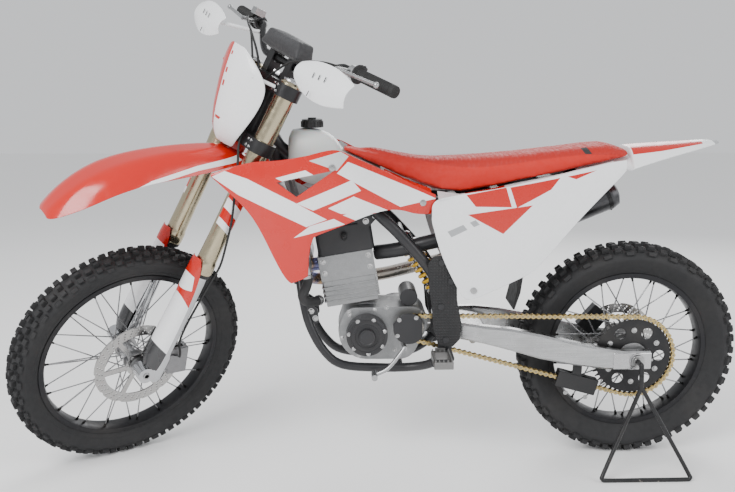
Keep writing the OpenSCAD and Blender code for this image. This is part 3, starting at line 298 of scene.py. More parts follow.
def repeat(bm, shape, places):
    """Add a copy of a small bmesh at each place."""
    mesh = bpy.data.meshes.new("copy")
    shape.to_mesh(mesh)
    shape.free()
    for place in places:
        mesh.transform(place)
        bm.from_mesh(mesh)
        mesh.transform(place.inverted())
    bpy.data.meshes.remove(mesh)


def add_copies(name, node, finish, shape, places, **look):
    """A piece made of one small shape at many places."""
    bm = bmesh.new()
    repeat(bm, shape, places)
    fit(name, bm, finish, node, **look)


def block(size, taper=1.0, soften=0.0):
    """A box standing on z = 0, narrowed at its top."""
    bm = bmesh.new()
    bmesh.ops.create_cube(bm, size=1, matrix=at((0, 0, 0.5)))
    for vert in bm.verts:
        narrow = taper if vert.co.z > 0.5 else 1.0
        vert.co = Vector((vert.co.x * size[0] * narrow, vert.co.y * size[1] * narrow, vert.co.z * size[2]))
    if soften:
        bmesh.ops.bevel(bm, geom=bm.edges, offset=soften, offset_type="OFFSET", affect="EDGES",
                        segments=1, profile=0.5, material=-1)
    return bm


def turned(profile, steps=48, closed=False, arc=360):
    """A solid of rotation about Z from (radius, height) points."""
    bm = bmesh.new()
    verts = [bm.verts.new((radius, 0, height)) for radius, height in profile]
    for first, second in zip(verts, verts[1:]):
        bm.edges.new((first, second))
    if closed:
        bm.edges.new((verts[-1], verts[0]))
    bmesh.ops.spin(bm, geom=bm.verts[:] + bm.edges[:], cent=(0, 0, 0), axis=(0, 0, 1),
                   angle=math.radians(arc), steps=steps, use_merge=arc == 360)
    bmesh.ops.remove_doubles(bm, verts=bm.verts, dist=0.00001)
    bmesh.ops.recalc_face_normals(bm, faces=bm.faces)
    return bm


def hoop(inner, outer, low, high, steps=48):
    """A ring of rectangular section about Z."""
    return turned([(inner, low), (outer, low), (outer, high), (inner, high)], steps, True)


def moved(bm, matrix):
    bmesh.ops.transform(bm, matrix=matrix, verts=bm.verts)
    return bm


def mm(*values):
    return Vector([value / 1000 for value in values])


def facing(place, normal):
    return at(place) @ Vector(normal).to_track_quat("Z", "Y").to_matrix().to_4x4()


# Sizes in millimetres: tread radius, shoulder radius, half of the flat tread, rim bed, rim width
TYRES = {"front": (346.5, 33, 12, 260, 48), "rear": (328, 38, 20, 229, 62)}
KNOB_HEIGHT, KNOB_ROOT, TYRE_STEPS = 11, 3, 96
# Across the tread from its middle, width, length and share of a pitch round
KNOBS = {"front": (38, [(8.5, 13, 17, 0.0), (22, 13, 19, 0.5), (37, 12, 18, 0.0), (50, 11, 22, 0.5)]),
         "rear": (29, [(11, 17, 20, 0.0), (0, 17, 18, 0.5), (29, 15, 22, 0.5), (45, 15, 20, 0.0),
                       (62, 12, 26, 0.5)])}
tyre_rubber = rubber("tyre_rubber", (0.022, 0.022, 0.023), 0.72)


def knob_place(wheel, across, turn):
    """Where a knob stands on the crown, its top on the tread surface."""
    radius, shoulder, flat, bed, width = TYRES[wheel]
    side = math.copysign(1, across)
    tilt = max(0.0, abs(across) - flat) / shoulder
    arc = shoulder - KNOB_HEIGHT - KNOB_ROOT
    out = radius - shoulder + arc * math.cos(tilt)
    over = side * (min(abs(across), flat) + arc * math.sin(tilt))
    return Matrix.Rotation(turn, 4, "Z") @ at(mm(out, 0, over)) \
        @ Matrix.Rotation(math.radians(90) - side * tilt, 4, "Y")


for wheel, (radius, shoulder, flat, bed, width) in TYRES.items():
    half = [(radius - shoulder + (shoulder - KNOB_HEIGHT) * math.cos(math.radians(turn)),
             (flat + shoulder - 6) * math.sin(math.radians(turn))) for turn in range(6, 126, 12)]
    half += [(bed + 18, width / 2 + 4), (bed + 12, width / 2 - 3), (bed + 2, width / 2 - 6)]
    section = [(r, z) for r, z in reversed(half)] + [(r, -z) for r, z in half]
    bm = turned([(r / 1000, z / 1000) for r, z in section], TYRE_STEPS, True)
    pitches, rows = KNOBS[wheel]
    for across, wide, long, share in rows:
        for side in (1, -1) if across else (1,):
            turns = [math.tau * (pitch + share) / pitches for pitch in range(pitches)]
            repeat(bm, block(mm(wide, long, KNOB_HEIGHT + KNOB_ROOT), 0.88, 0.0009),
                   [knob_place(wheel, side * across, turn) for turn in turns])
    for ring in (bed + 24, bed + 27):
        for side in (1, -1):
            wall = side * (width / 2 + 4.5 + (ring - bed - 18) * 0.1)
            ridge = hoop(*mm(ring, ring + 1.4), *mm(wall - side * 3, wall + side * 1.2), TYRE_STEPS)
            repeat(bm, ridge, [Matrix.Identity(4)])
    fit(wheel + "_tyre_tread", moved(bm, WHEELS[wheel]), tyre_rubber, wheel + "_tyre", True)

# Spokes run from the hub flanges to the rim, each in a black nipple. The ends are the
# flange's radius and its distance from the wheel's middle, in millimetres.
SPOKE_ENDS = {"front": (36, 30), "rear": (58, 34)}
rim_black = metal("rim_anodised", (0.025, 0.025, 0.028), 0.38, 140, 0.0001, metallic=0.6)
spoke_steel = metal("spoke_steel", (0.42, 0.42, 0.43), 0.3, 500, 0.0001)
nipple_black = metal("nipple_anodised", (0.03, 0.03, 0.03), 0.35, 400, 0.0001)
hub_alloy = metal("hub_alloy", (0.62, 0.62, 0.63), 0.34, 320, 0.0002)
cast_alloy = metal("cast_alloy", (0.50, 0.50, 0.505), 0.46, 420, 0.0006)
SPOKE_PAIRS, SPOKE_SWEEP, PAIR_SPREAD = 9, 62, 6
RIM_BED_DEPTH, NIPPLE_LENGTH = 7.4, 11
for wheel, (flange, out) in SPOKE_ENDS.items():
    bed = TYRES[wheel][3]
    nipples = bmesh.new()
    places = []
    for side in (1, -1):
        for number in range(SPOKE_PAIRS):
            for lay in (1, -1):
                start = math.radians(360 / SPOKE_PAIRS * (number + (side < 0) / 2) + PAIR_SPREAD * lay)
                end = start + math.radians(SPOKE_SWEEP * lay)
                inner = Vector((flange * math.cos(start), flange * math.sin(start), side * out + 4 * lay))
                rim_r = bed - RIM_BED_DEPTH
                outer = Vector((rim_r * math.cos(end), rim_r * math.sin(end), side * 9 + 2.5 * lay))
                way = (outer - inner).normalized()
                places.append(facing((outer - way * NIPPLE_LENGTH) / 1000, way))
    nipple = turned([(0, 0), (0.0026, 0), (0.0032, 0.002), (0.0032, 0.007), (0.0042, 0.008),
                     (0.0042, 0.014), (0, 0.014)], 6)
    repeat(nipples, nipple, places)
    fit(wheel + "_nipples", moved(nipples, WHEELS[wheel]), nipple_black, wheel + "_rim")
    dress(wheel + "_rim", rim_black, 0.0008)
    dress(wheel + "_spokes", spoke_steel, 0)
    dress(wheel + "_hub", hub_alloy if wheel == "front" else cast_alloy, 0.0006)


# Brake discs and calipers: stainless discs with a waved edge and drilled rows, bolted to
# the hubs; the front caliper is cast and held to the slider's foot.
def drilled(bm, cutter):
    """Cut a tool's solids out of a piece."""
    body = add_object("cut_body", bm, disc_steel.material)
    tool = add_object("cut_tool", cutter, disc_steel.material)
    cut = body.modifiers.new("cut", "BOOLEAN")
    cut.operation = "DIFFERENCE"
    cut.solver = "EXACT"
    cut.object = tool
    result = bmesh.new()
    result.from_object(body, bpy.context.evaluated_depsgraph_get())
    for obj in (body, tool):
        mesh = obj.data
        bpy.data.objects.remove(obj)
        bpy.data.meshes.remove(mesh)
    return result


def ring_of(count, radius, start=0.0):
    """Places round a wheel's axle, each turned to face outwards."""
    return [Matrix.Rotation(math.tau * number / count + start, 4, "Z") @ at((radius, 0, 0))
            for number in range(count)]


def pillar(radius, low, high, sides=16):
    bm = bmesh.new()
    bmesh.ops.create_cone(bm, cap_ends=True, segments=sides, radius1=radius, radius2=radius,
                          depth=high - low, matrix=at((0, 0, (low + high) / 2)))
    return bm


def bolt_head(radius, height):
    """A flanged hexagon head standing on z = 0."""
    collar, washer = radius * 1.35, radius * 1.5
    bm = turned([(0, -0.001), (collar, -0.001), (collar, height * 0.2), (radius, height * 0.35),
                 (radius, height * 0.9), (radius * 0.85, height), (0, height)], 6)
    flange = turned([(0, -0.001), (washer, -0.001), (washer, height * 0.22), (0, height * 0.26)], 20)
    repeat(bm, flange, [Matrix.Identity(4)])
    return bm


def add_bolts(name, node, places, radius=0.005, height=0.006, finish=None):
    add_copies(name, node, finish or bolt_steel, bolt_head(radius, height), places, sharp=25)


disc_steel = metal("disc_steel", (0.58, 0.57, 0.56), 0.24, 700, 0.0001)
bolt_steel = metal("bolt_steel", (0.60, 0.60, 0.60), 0.3, 500, 0.0001)
black_alloy = metal("black_alloy", (0.03, 0.03, 0.032), 0.36, 300, 0.0002, metallic=0.5)
# Outer radius, height on the axle and the radii of the drilled rows, in millimetres
DISCS = {"front": (130, -62, (107, 114.5, 122)), "rear": (118, 73, (95, 102.5, 110))}
WAVES, WAVE_R, WAVE_OUT = 12, 13, 9.5
HOLES, HOLE_R, ROW_TURN = 36, 2.6, 2.2
CUT_DEPTH = 10
for wheel, (outer, height, rows) in DISCS.items():
    cutter = bmesh.new()
    scallop = pillar(*mm(WAVE_R, -CUT_DEPTH, CUT_DEPTH), 24)
    repeat(cutter, scallop, ring_of(WAVES, (outer + WAVE_OUT) / 1000))
    for row, radius in enumerate(rows):
        turns = ring_of(HOLES, radius / 1000, math.radians(ROW_TURN * row))
        repeat(cutter, pillar(*mm(HOLE_R, -CUT_DEPTH, CUT_DEPTH), 12), turns)
    moved(cutter, WHEELS[wheel] @ at(mm(0, 0, height + math.copysign(2, height))))
    disc = wheel + "_disc"
    fit(disc + "_waved", drilled(copy_of(disc), cutter), disc_steel, disc, True)
    spot = WHEELS[wheel] @ at(mm(0, 0, height + (4 if height > 0 else 0)))
    if height < 0:
        spot = spot @ rotation(180, "X")
    add_bolts(disc + "_bolts", disc,
              [spot @ place for place in ring_of(6, 0.031 if height < 0 else 0.036)], 0.0045, 0.004)
caliper_alloy = metal("caliper_alloy", (0.36, 0.36, 0.37), 0.5, 500, 0.0006)
dress("front_caliper", caliper_alloy, 0.003)
dress("rear_caliper", black_alloy, 0.003)

# Final drive: a black anodised 48-tooth sprocket on the rear hub, a 14-tooth steel one on
# the engine, and a gold-plated roller chain of pressed link plates round both.
CHAIN_PITCH, CHAIN_Y = 0.015875, -0.078
REAR_TEETH, FRONT_TEETH = 48, 14
SPROCKET_PLACES = {"front": Vector((0.100, 0, 0.425)), "rear": AXLE_PLACES["rear"]}
chain_gold = metal("chain_gold", (0.72, 0.55, 0.24), 0.3, 900, 0.0001)
roller_steel = metal("roller_steel", (0.34, 0.32, 0.29), 0.32, 900, 0.0001)
sprocket_black = metal("sprocket_anodised", (0.025, 0.025, 0.027), 0.34, 300, 0.0001, metallic=0.5)


def pitch_radius(teeth):
    return CHAIN_PITCH / 2 / math.sin(math.pi / teeth)


def tooth():
    """One sprocket tooth, wide at its root and rounded at its tip."""
    bm = block((0.0075, 0.0043, 0.013), 0.38, 0.0007)
    return moved(bm, rotation(90, "Y") @ rotation(90, "Z"))


def chain_points():
    """Pin places round both sprockets, one pitch apart, in the bike's plane."""
    big, small = pitch_radius(REAR_TEETH), pitch_radius(FRONT_TEETH)
    rear, front = SPROCKET_PLACES["rear"], SPROCKET_PLACES["front"]
    span = rear - front
    length = math.hypot(span.x, span.z)
    lie = math.atan2(span.z, span.x)
    lean_in = math.asin((big - small) / length)
    run = math.sqrt(length ** 2 - (big - small) ** 2)
    arc_big, arc_small = (math.pi + 2 * lean_in) * big, (math.pi - 2 * lean_in) * small
    total = 2 * run + arc_big + arc_small
    count = round(total / CHAIN_PITCH)
    top, low = lie + math.pi / 2 + lean_in, lie - math.pi / 2 - lean_in
    points = []
    for number in range(count):
        along = total * number / count
        if along < run:
            angle, centre, radius, slide = top, front, small, along
        elif along < run + arc_big:
            angle, centre, radius, slide = top - (along - run) / big, rear, big, 0
        elif along < 2 * run + arc_big:
            angle, centre, radius, slide = low, rear, big, run + arc_big - along
        else:
            angle, centre, radius, slide = low - (along - 2 * run - arc_big) / small, front, small, 0
        way = lie + lean_in * (-1 if slide < 0 else 1)
        spot = centre + radius * Vector((math.cos(angle), 0, math.sin(angle)))
        points.append(spot + slide * Vector((math.cos(way), 0, math.sin(way))))
    return points


def link_plate(wide):
    """A waisted chain plate along X, lying in the bike's plane."""
    bm = block((CHAIN_PITCH, wide * 1.05, 0.0014))
    repeat(bm, pillar(wide, 0, 0.0015, 14),
           [at((side * CHAIN_PITCH / 2, 0, 0)) for side in (1, -1)])
    return moved(bm, rotation(90, "X"))


pins = chain_points()
plates, rollers = bmesh.new(), bmesh.new()
for inner in (0, 1):
    places = []
    for number in range(inner, len(pins), 2):
        first, second = pins[number], pins[(number + 1) % len(pins)]
        turn = Matrix.Rotation(-math.atan2(second.z - first.z, second.x - first.x), 4, "Y")
        for side in (1, -1):
            offset = Vector((0, CHAIN_Y + side * (0.0046 if inner else 0.0064), 0))
            places.append(at((first + second) / 2 + offset) @ turn)
    repeat(plates, link_plate(0.0070 if inner else 0.0064), places)
on_side = rotation(90, "X")
for radius, half, sides in ((0.0050, 0.0042, 12), (0.0025, 0.0086, 8)):
    repeat(rollers, pillar(radius, -half, half, sides),
           [at(pin + Vector((0, CHAIN_Y, 0))) @ on_side for pin in pins])
fit("chain_plates", moved(plates, CHASSIS), chain_gold, "chain", True)
fit("chain_rollers", moved(rollers, CHASSIS), roller_steel, "chain")

teeth = bmesh.new()
repeat(teeth, tooth(), ring_of(REAR_TEETH, pitch_radius(REAR_TEETH) - 0.0095))
moved(teeth, WHEELS["rear"] @ at((0, 0, CHAIN_Y)))
fit("rear_sprocket_teeth", teeth, sprocket_black, "rear_sprocket")
dress("rear_sprocket", sprocket_black, 0.0006)
sprocket_face = WHEELS["rear"] @ at(mm(0, 0, -81)) @ rotation(180, "X")
add_bolts("rear_sprocket_bolts", "rear_sprocket",
          [sprocket_face @ place for place in ring_of(6, 0.080, math.radians(30))], 0.0055, 0.005)
dress("drive_sprocket", roller_steel)
dress("rear_axle", bolt_steel, 0.0008)
dress("front_axle", bolt_steel, 0.0008)


# Frame: black powder-coated steel tube with a removable subframe. Moulded rubber guards with
# a dimpled grip face are strapped over the pivot plates, where the rider's boots rub.
def coated(name, colour, roughness, dust=0.1):
    """Powder coat: a fine orange peel with a clouded sheen."""
    finish = Finish(name, colour, roughness, Coat_Weight=0.25, Coat_Roughness=0.3, Specular_IOR_Level=0.22)
    finish.worn(dust=dust)
    finish.bump(finish.noise(650, 2), 0.00015, 0.6)
    return finish


frame_black = coated("frame_powder_coat", (0.022, 0.022, 0.024), 0.34)
guard_rubber = rubber("guard_rubber", (0.02, 0.02, 0.021), 0.6, dust=0.1)
spot = guard_rubber.seen_from(CHASSIS)
cells = guard_rubber.add("TexVoronoi", {"feature": "F1"},
                         {"Vector": spot, "Scale": 120.0, "Randomness": 0.0})
guard_rubber.bump(cells.spread(0.25, 0.5), 0.0012, 0.9)
dress("main_frame", frame_black, 0.0008)
dress("subframe", frame_black, 0.0008)
dress("frame_guards", guard_rubber, 0.002)
STUDS = [(-1, 0.172, 0.630), (-1, 0.200, 0.575), (-1, 0.172, 0.500), (-1, 0.188, 0.400), (1, 0.188, 0.400)]
add_copies("frame_guard_studs", "frame_guards", frame_black, pillar(0.009, 0, 0.003, 20),
           [CHASSIS @ facing((x, side * 0.1238, z), (0, side, 0)) for side, x, z in STUDS], soften=0.0008)
add_bolts("pivot_bolts", "main_frame",
          [CHASSIS @ facing((0.186, side * 0.109, 0.425), (0, side, 0)) for side in (-1, 1)], 0.011, 0.006)
engine_mounts = [(-0.040, 0.742), (-0.014, 0.758), (-0.200, 0.470), (-0.188, 0.448)]
add_bolts("engine_mount_bolts", "main_frame",
          [CHASSIS @ facing((x, side * (0.0755 if z > 0.6 else 0.0515), z), (0, side, 0))
           for x, z in engine_mounts for side in (-1, 1)], 0.006, 0.006)

# Engine: sand-cast cases and a water-cooled cylinder in bare alloy, a black head cover and
# black ignition and clutch covers, each held by flanged bolts round its rim.
CRANK, CLUTCH = Vector((-0.038, 0, 0.403)), Vector((0.058, 0, 0.404))
CASE_FACE = 0.0578
COUNTERSHAFT = SPROCKET_PLACES["front"]
cover_black = coated("cover_black", (0.024, 0.024, 0.026), 0.42)
case_alloy = metal("case_alloy", (0.44, 0.445, 0.45), 0.5, 520, 0.0007)
at_left = rotation(90, "X")
at_right = rotation(-90, "X")


def on_left(place, depth):
    """A turning frame on the bike's left, its z outwards."""
    return CHASSIS @ at(place + Vector((0, -depth, 0))) @ at_left


def on_right(place, depth):
    return CHASSIS @ at(place + Vector((0, depth, 0))) @ at_right


dress("crankcase", case_alloy, 0.004)
dress("cylinder_block", case_alloy, 0.0016)
dress("head_cover", cover_black, 0.004)
dress("engine_covers", cover_black, 0.003)
trims = bmesh.new()
ignition = turned([(0.0, 0.0466), (0.017, 0.0466), (0.020, 0.0462), (0.0215, 0.0475), (0.0235, 0.0475),
                   (0.0245, 0.0455), (0.0245, 0.040), (0.0, 0.040)], 40)
repeat(trims, ignition, [on_left(CRANK, 0.058)])
for ring in (0.034, 0.047):
    repeat(trims, hoop(ring, ring + 0.003, 0.0355, 0.0378), [on_left(CRANK, 0.0585)])
for ring in (0.030, 0.052):
    repeat(trims, hoop(ring, ring + 0.004, 0.034, 0.0368), [on_right(CLUTCH, 0.0733)])
fit("cover_ribs", trims, cover_black, "engine_covers", soften=0.0005)
rim_bolts = [on_left(CRANK, 0.0943) @ place for place in ring_of(7, 0.053, 0.3)]
rim_bolts += [on_right(CLUTCH, 0.1083) @ place for place in ring_of(9, 0.067, 0.2)]
rim_bolts += [on_left(COUNTERSHAFT + Vector((dx, 0, dz)), 0.101)
              for dx, dz in ((-0.045, 0.030), (-0.050, -0.018), (0.004, 0.036))]
add_bolts("cover_bolts", "engine_covers", rim_bolts, 0.0042, 0.005)
flange = bmesh.new()
for depth in (0.020, -0.054):
    repeat(flange, hoop(0.078, 0.0835, -0.001, 0.005, 64), [on_left(CRANK, depth)])
fit("case_flanges", flange, case_alloy, "crankcase", soften=0.001)
case_bolts = [on_left(CRANK, CASE_FACE) @ place for place in ring_of(6, 0.074, 1.25)[:4]]
CASE_BOLTS = [(0.045, 0.350), (0.075, 0.352), (0.125, 0.462), (0.020, 0.480), (-0.09, 0.468)]
case_bolts += [on_left(Vector((x, 0, z)), CASE_FACE) for x, z in CASE_BOLTS]
add_bolts("case_bolts", "crankcase", case_bolts, 0.0045, 0.005)
tilt = rotation(-9, "Y")
barrel = CHASSIS @ at(CRANK) @ tilt
head_bolts = [barrel @ facing((x, side * 0.0638, 0.200 + 0.034 * row), (0, side, 0))
              for x in (-0.09, 0.042) for row in (0, 1) for side in (-1, 1)]
add_bolts("head_bolts", "cylinder_block", head_bolts, 0.0055, 0.006)
HEAD_TOP = 0.3322
cover_screws = [barrel @ at((x, y, HEAD_TOP)) for x in (-0.078, 0.042) for y in (-0.045, 0.045)]
add_bolts("head_cover_bolts", "head_cover", cover_screws, 0.006, 0.006)
spark_boot = turned([(0.0, -0.002), (0.013, -0.002), (0.013, 0.006), (0.009, 0.010), (0.009, 0.030),
                     (0.005, 0.033), (0.0, 0.033)], 20)
fit("spark_plug_boot", moved(spark_boot, barrel @ facing((-0.018, -0.0555, 0.292), (0, -1, 0.5))),
    guard_rubber, "head_cover")

# Cooling: two alloy radiators with folded fin cores behind moulded louvres, and black
# rubber hoses pushed over their spigots under worm-drive clips.
RADIATOR_LOW = Vector((-0.212, 0, 0.604))
radiator_lean = Matrix.Rotation(math.atan2(-0.068, 0.262), 4, "Y")
radiator_alloy = metal("radiator_alloy", (0.60, 0.61, 0.62), 0.38, 240, 0.0002)
louvre_black = coated("louvre_black", (0.02, 0.02, 0.02), 0.5)
core = radiator_alloy.parts_of(radiator_alloy.seen_from(CHASSIS @ radiator_lean))[2]
radiator_alloy.bump(core.math("PINGPONG", 0.0016), 0.0008, 0.8)
dress("radiators", radiator_alloy, 0.002)
slat = moved(block((0.003, 0.100, 0.012), 1.0, 0.0008), rotation(35, "Y"))
places = [CHASSIS @ at(RADIATOR_LOW) @ radiator_lean
          @ at((-0.0165, side * 0.103, 0.030 + 0.016 * row))
          for side in (-1, 1) for row in range(13)]
add_copies("radiator_louvres", "radiators", louvre_black, slat, places)
hose_rubber = rubber("hose_rubber", (0.025, 0.025, 0.026), 0.55, dust=0.1)
dress("coolant_hoses", hose_rubber, 0.001)
clips = bmesh.new()
HOSE_CLIPS = [(0.0143, (-0.2085, -0.1062, 0.590), (0.12, 0, -1)),
              (0.0143, (-0.178, -0.058, 0.5044), (-1, -1, 0)),
              (0.0103, (-0.2085, 0.130, 0.591), (0.12, 0, -1)),
              (0.0103, (-0.1165, 0.076, 0.562), (-0.2, 1, 0))]
for radius, spot, way in HOSE_CLIPS:
    repeat(clips, hoop(radius, radius + 0.0015, -0.0045, 0.0045, 32), [CHASSIS @ facing(spot, way)])
fit("hose_clips", clips, bolt_steel, "coolant_hoses", soften=0.0003)

# Exhaust: a stainless header, straw and blue near the port, into a dark silencer with an end
# cap riveted to it. The intake boot, air box and starter are black mouldings.
header_steel = metal("header_steel", (0.50, 0.46, 0.41), 0.3, 180, 0.0001)
warm = header_steel.parts_of(header_steel.seen_from(CHASSIS))[0]
heat = warm.spread(-0.22, 0.10, 1.0, 0.0)
straw = header_steel.mix(heat, (0.50, 0.47, 0.43, 1), (0.42, 0.27, 0.12, 1))
clouds = header_steel.noise(14, 3)
header_steel.worn(header_steel.mix(heat * clouds.spread(0.45, 0.6), straw, (0.12, 0.13, 0.26, 1)), 0.08)
dress("exhaust_pipe", header_steel, 0)
SILENCER_A, SILENCER_B = Vector((0.372, 0.120, 0.640)), Vector((0.738, 0.120, 0.790))
sleeve = metal("silencer_sleeve", (0.10, 0.10, 0.105), 0.36, 160, 0.0001)
dress("silencer", sleeve, 0.0012)
axis = facing(SILENCER_A, SILENCER_B - SILENCER_A)
length = (SILENCER_B - SILENCER_A).length
trims = bmesh.new()
BAND_R = 0.0462
for along in (0.062, length - 0.036):
    station = CHASSIS @ axis @ at((0, 0, along))
    repeat(trims, hoop(0.0445, BAND_R, -0.006, 0.006), [station])
    rivet = turned([(0.0025, -0.001), (0.0025, 0.001), (0.0015, 0.0018), (0, 0.002)], 10)
    repeat(trims, rivet, [station @ place @ rotation(90, "Y") for place in ring_of(10, BAND_R)])
fit("silencer_bands", trims, black_alloy, "silencer", soften=0.0003)
dress("intake", cover_black, 0.003)

# Swingarm: a tapered box-section alloy arm, brushed along its length, with machined axle
# blocks and chain adjusters. The shock's yellow coil spring stands inside the frame.
arm_alloy = metal("arm_alloy", (0.63, 0.635, 0.64), 0.3, 260, 0.0001, (0.04, 1, 1))
dress("swingarm", arm_alloy, 0.003)
blocks = bmesh.new()
ARM_FACE = 0.1218
for side in (-1, 1):
    face = (on_left if side < 0 else on_right)(AXLE_PLACES["rear"], ARM_FACE)
    plate = block((0.112, 0.050, 0.0026), 0.97, 0.0012)
    repeat(blocks, plate, [face @ at((-0.014, 0, 0))])
    repeat(blocks, hoop(0.020, 0.0245, 0, 0.005, 40), [face])
machined = metal("machined_alloy", (0.70, 0.70, 0.71), 0.26, 900, 0.0001)
fit("axle_blocks", blocks, machined, "swingarm", soften=0.0006)
add_bolts("chain_adjusters", "swingarm",
          [CHASSIS @ facing((0.789, y, 0.328), (1, 0, 0)) for y in (-0.099, -0.114, 0.099, 0.114)],
          0.0045, 0.010)
SHOCK_TOP, SHOCK_LOW = Vector((0.0688, 0.014, 0.6867)), Vector((0.220, 0.014, 0.448))
damper_steel = metal("damper_steel", (0.55, 0.55, 0.56), 0.22, 600, 0.0001)
spring_yellow = Finish("spring_yellow", (0.72, 0.42, 0.02), 0.3, Coat_Weight=0.4, Coat_Roughness=0.15)
spring_yellow.worn(dust=0.1)
damper = turned([(0, 0), (0.016, 0), (0.022, 0.008), (0.022, 0.030), (0.030, 0.034), (0.030, 0.040),
                 (0.019, 0.044), (0.019, 0.190), (0.030, 0.194), (0.030, 0.200), (0.012, 0.204),
                 (0.012, 0.282), (0, 0.282)], 32)
shock_line = CHASSIS @ facing(SHOCK_TOP, SHOCK_LOW - SHOCK_TOP)
fit("shock_damper", moved(damper, shock_line), damper_steel, "shock_absorber", True, 0.0008)
coil = bmesh.new()
COIL_R, WIRE_R, COIL_TURNS, COIL_STEPS, COIL_LENGTH = 0.0255, 0.0052, 7, 24, 0.142
bmesh.ops.create_circle(coil, cap_ends=True, segments=12, radius=WIRE_R,
                        matrix=at((COIL_R, 0, 0.046)) @ rotation(90, "X"))
bmesh.ops.spin(coil, geom=coil.faces[:], cent=(0, 0, 0), axis=(0, 0, 1), angle=math.tau * COIL_TURNS,
               steps=COIL_TURNS * COIL_STEPS, dvec=(0, 0, COIL_LENGTH / COIL_TURNS / COIL_STEPS))
bmesh.ops.recalc_face_normals(coil, faces=coil.faces)
fit("shock_spring", moved(coil, shock_line), spring_yellow, "shock_absorber")

# Chain guide and foot controls: a moulded guide bolted under the arm, serrated steel pegs on
# their brackets, and forged alloy gear and brake pedals.
guide_black = coated("guide_plastic", (0.02, 0.02, 0.021), 0.45)
dress("chain_guide", guide_black, 0.006)
add_bolts("chain_guide_bolts", "chain_guide",
          [CHASSIS @ facing((x, -0.0936, z), (0, -1, 0)) for x, z in ((0.552, 0.2205), (0.612, 0.205))],
          0.0045, 0.003)
peg_steel = metal("peg_steel", (0.33, 0.325, 0.32), 0.45, 600, 0.0003)
dress("footpegs", peg_steel, 0.0015)
cleat = block((0.0055, 0.0040, 0.007), 0.25)
cleats = [(x, 0.122 + 0.009 * row) for row in range(11) for x in (0.150, 0.196)]
cleats += [(x, y) for x in (0.160, 0.172, 0.184) for y in (0.124, 0.212)]
PEG_TOP = 0.3665
add_copies("footpeg_cleats", "footpegs", peg_steel, cleat,
           [CHASSIS @ at((x, side * y, PEG_TOP)) for x, y in cleats for side in (-1, 1)])
forged = metal("forged_alloy", (0.56, 0.565, 0.57), 0.36, 300, 0.0002)
dress("foot_levers", forged, 0.0012)


# Plastics: injection-moulded gloss panels, their stripes films laid flush in the surface,
# screwed to the frame. Outlines are millimetres on the upright bike, seen from its side.
RED, WHITE = (0.55, 0.008, 0.001), (0.82, 0.83, 0.84)
FILM_WHITE, FILM_RED, FILM_BLACK = (0.83, 0.84, 0.85, 1), (0.50, 0.008, 0.001, 1), (0.03, 0.03, 0.032, 1)
FILM_GREY, FILM_SILVER = (0.33, 0.34, 0.35, 1), (0.55, 0.56, 0.57, 1)


def stencil(finish, point, outlines, across=0):
    """1 inside any convex outline drawn over a point's z and one other axis, and 0 outside."""
    drawn = None
    for outline in outlines:
        closed = list(zip(outline, outline[1:] + outline[:1]))
        area = sum(a[0] * b[1] - b[0] * a[1] for a, b in closed)
        inside = None
        for first, second in closed:
            normal = Vector((0, 0, 0))
            normal[across] = (first[1] - second[1]) * math.copysign(1, area)
            normal[2] = (second[0] - first[0]) * math.copysign(1, area)
            edge = first[0] / 1000 * normal[across] + first[1] / 1000 * normal[2]
            side = finish.add("VectorMath", {"operation": "DOT_PRODUCT"}, {0: point, 1: normal}, "Value")
            within = side.over(edge)
            inside = within if inside is None else inside * within
        drawn = inside if drawn is None else drawn.math("MAXIMUM", inside)
    return drawn


def moulded(node, finish):
    """A panel smoothed between its rims, which stay crisp."""
    bm = bmesh.new()
    bm.from_mesh(frame["nodes"][node].data)
    bmesh.ops.remove_doubles(bm, verts=bm.verts, dist=0.00002)
    bmesh.ops.join_triangles(bm, faces=bm.faces, angle_face_threshold=math.radians(35),
                             angle_shape_threshold=math.radians(60))
    crease = bm.edges.layers.float.new("crease_edge")
    for edge in bm.edges:
        if len(edge.link_faces) == 2 and edge.calc_face_angle(0) > math.radians(48):
            edge[crease] = 0.92
    fit(node + "_moulding", bm, finish, node, True, 0, 2, 60)


def panel(node, name, colour, roughness, matrix=CHASSIS, films=(), across=0):
    """A gloss panel with films in it, each a list of outlines and a colour."""
    finish = Finish(name, colour, roughness, Coat_Weight=0.35, Coat_Roughness=0.08)
    surface = finish.colour
    for outlines, film in films:
        inside = stencil(finish, finish.seen_from(matrix), outlines, across)
        surface = finish.mix(inside, surface, film)
    finish.worn(surface, dust=0.05, scuff=0.14, cells=38)
    finish.bump(finish.noise(55, 2), 0.0002, 0.5)
    moulded(node, finish)
    return finish


# Radiator shrouds, red with white angular films
SHROUD_FILMS = [[(-455, 885), (-420, 900), (-335, 870), (-230, 810), (-145, 765), (-205, 745),
                 (-385, 835)],
                [(-230, 810), (-80, 870), (-55, 840), (-185, 790)],
                [(-120, 890), (-90, 920), (155, 812), (55, 790)],
                [(-285, 880), (-205, 900), (-180, 885), (-255, 865)],
                [(-145, 795), (-75, 825), (35, 775), (-110, 778)],
                [(-105, 774), (-70, 785), (0, 770), (-65, 755)],
                [(-195, 747), (-130, 765), (-100, 748), (-240, 715)]]
SHROUD_TIP = [[(-195, 925), (-110, 948), (-88, 935), (-120, 897)]]
shroud_plastic = panel("radiator_shrouds", "shroud_plastic", RED, 0.24,
                       films=[(SHROUD_FILMS, FILM_WHITE), (SHROUD_TIP, FILM_SILVER)])

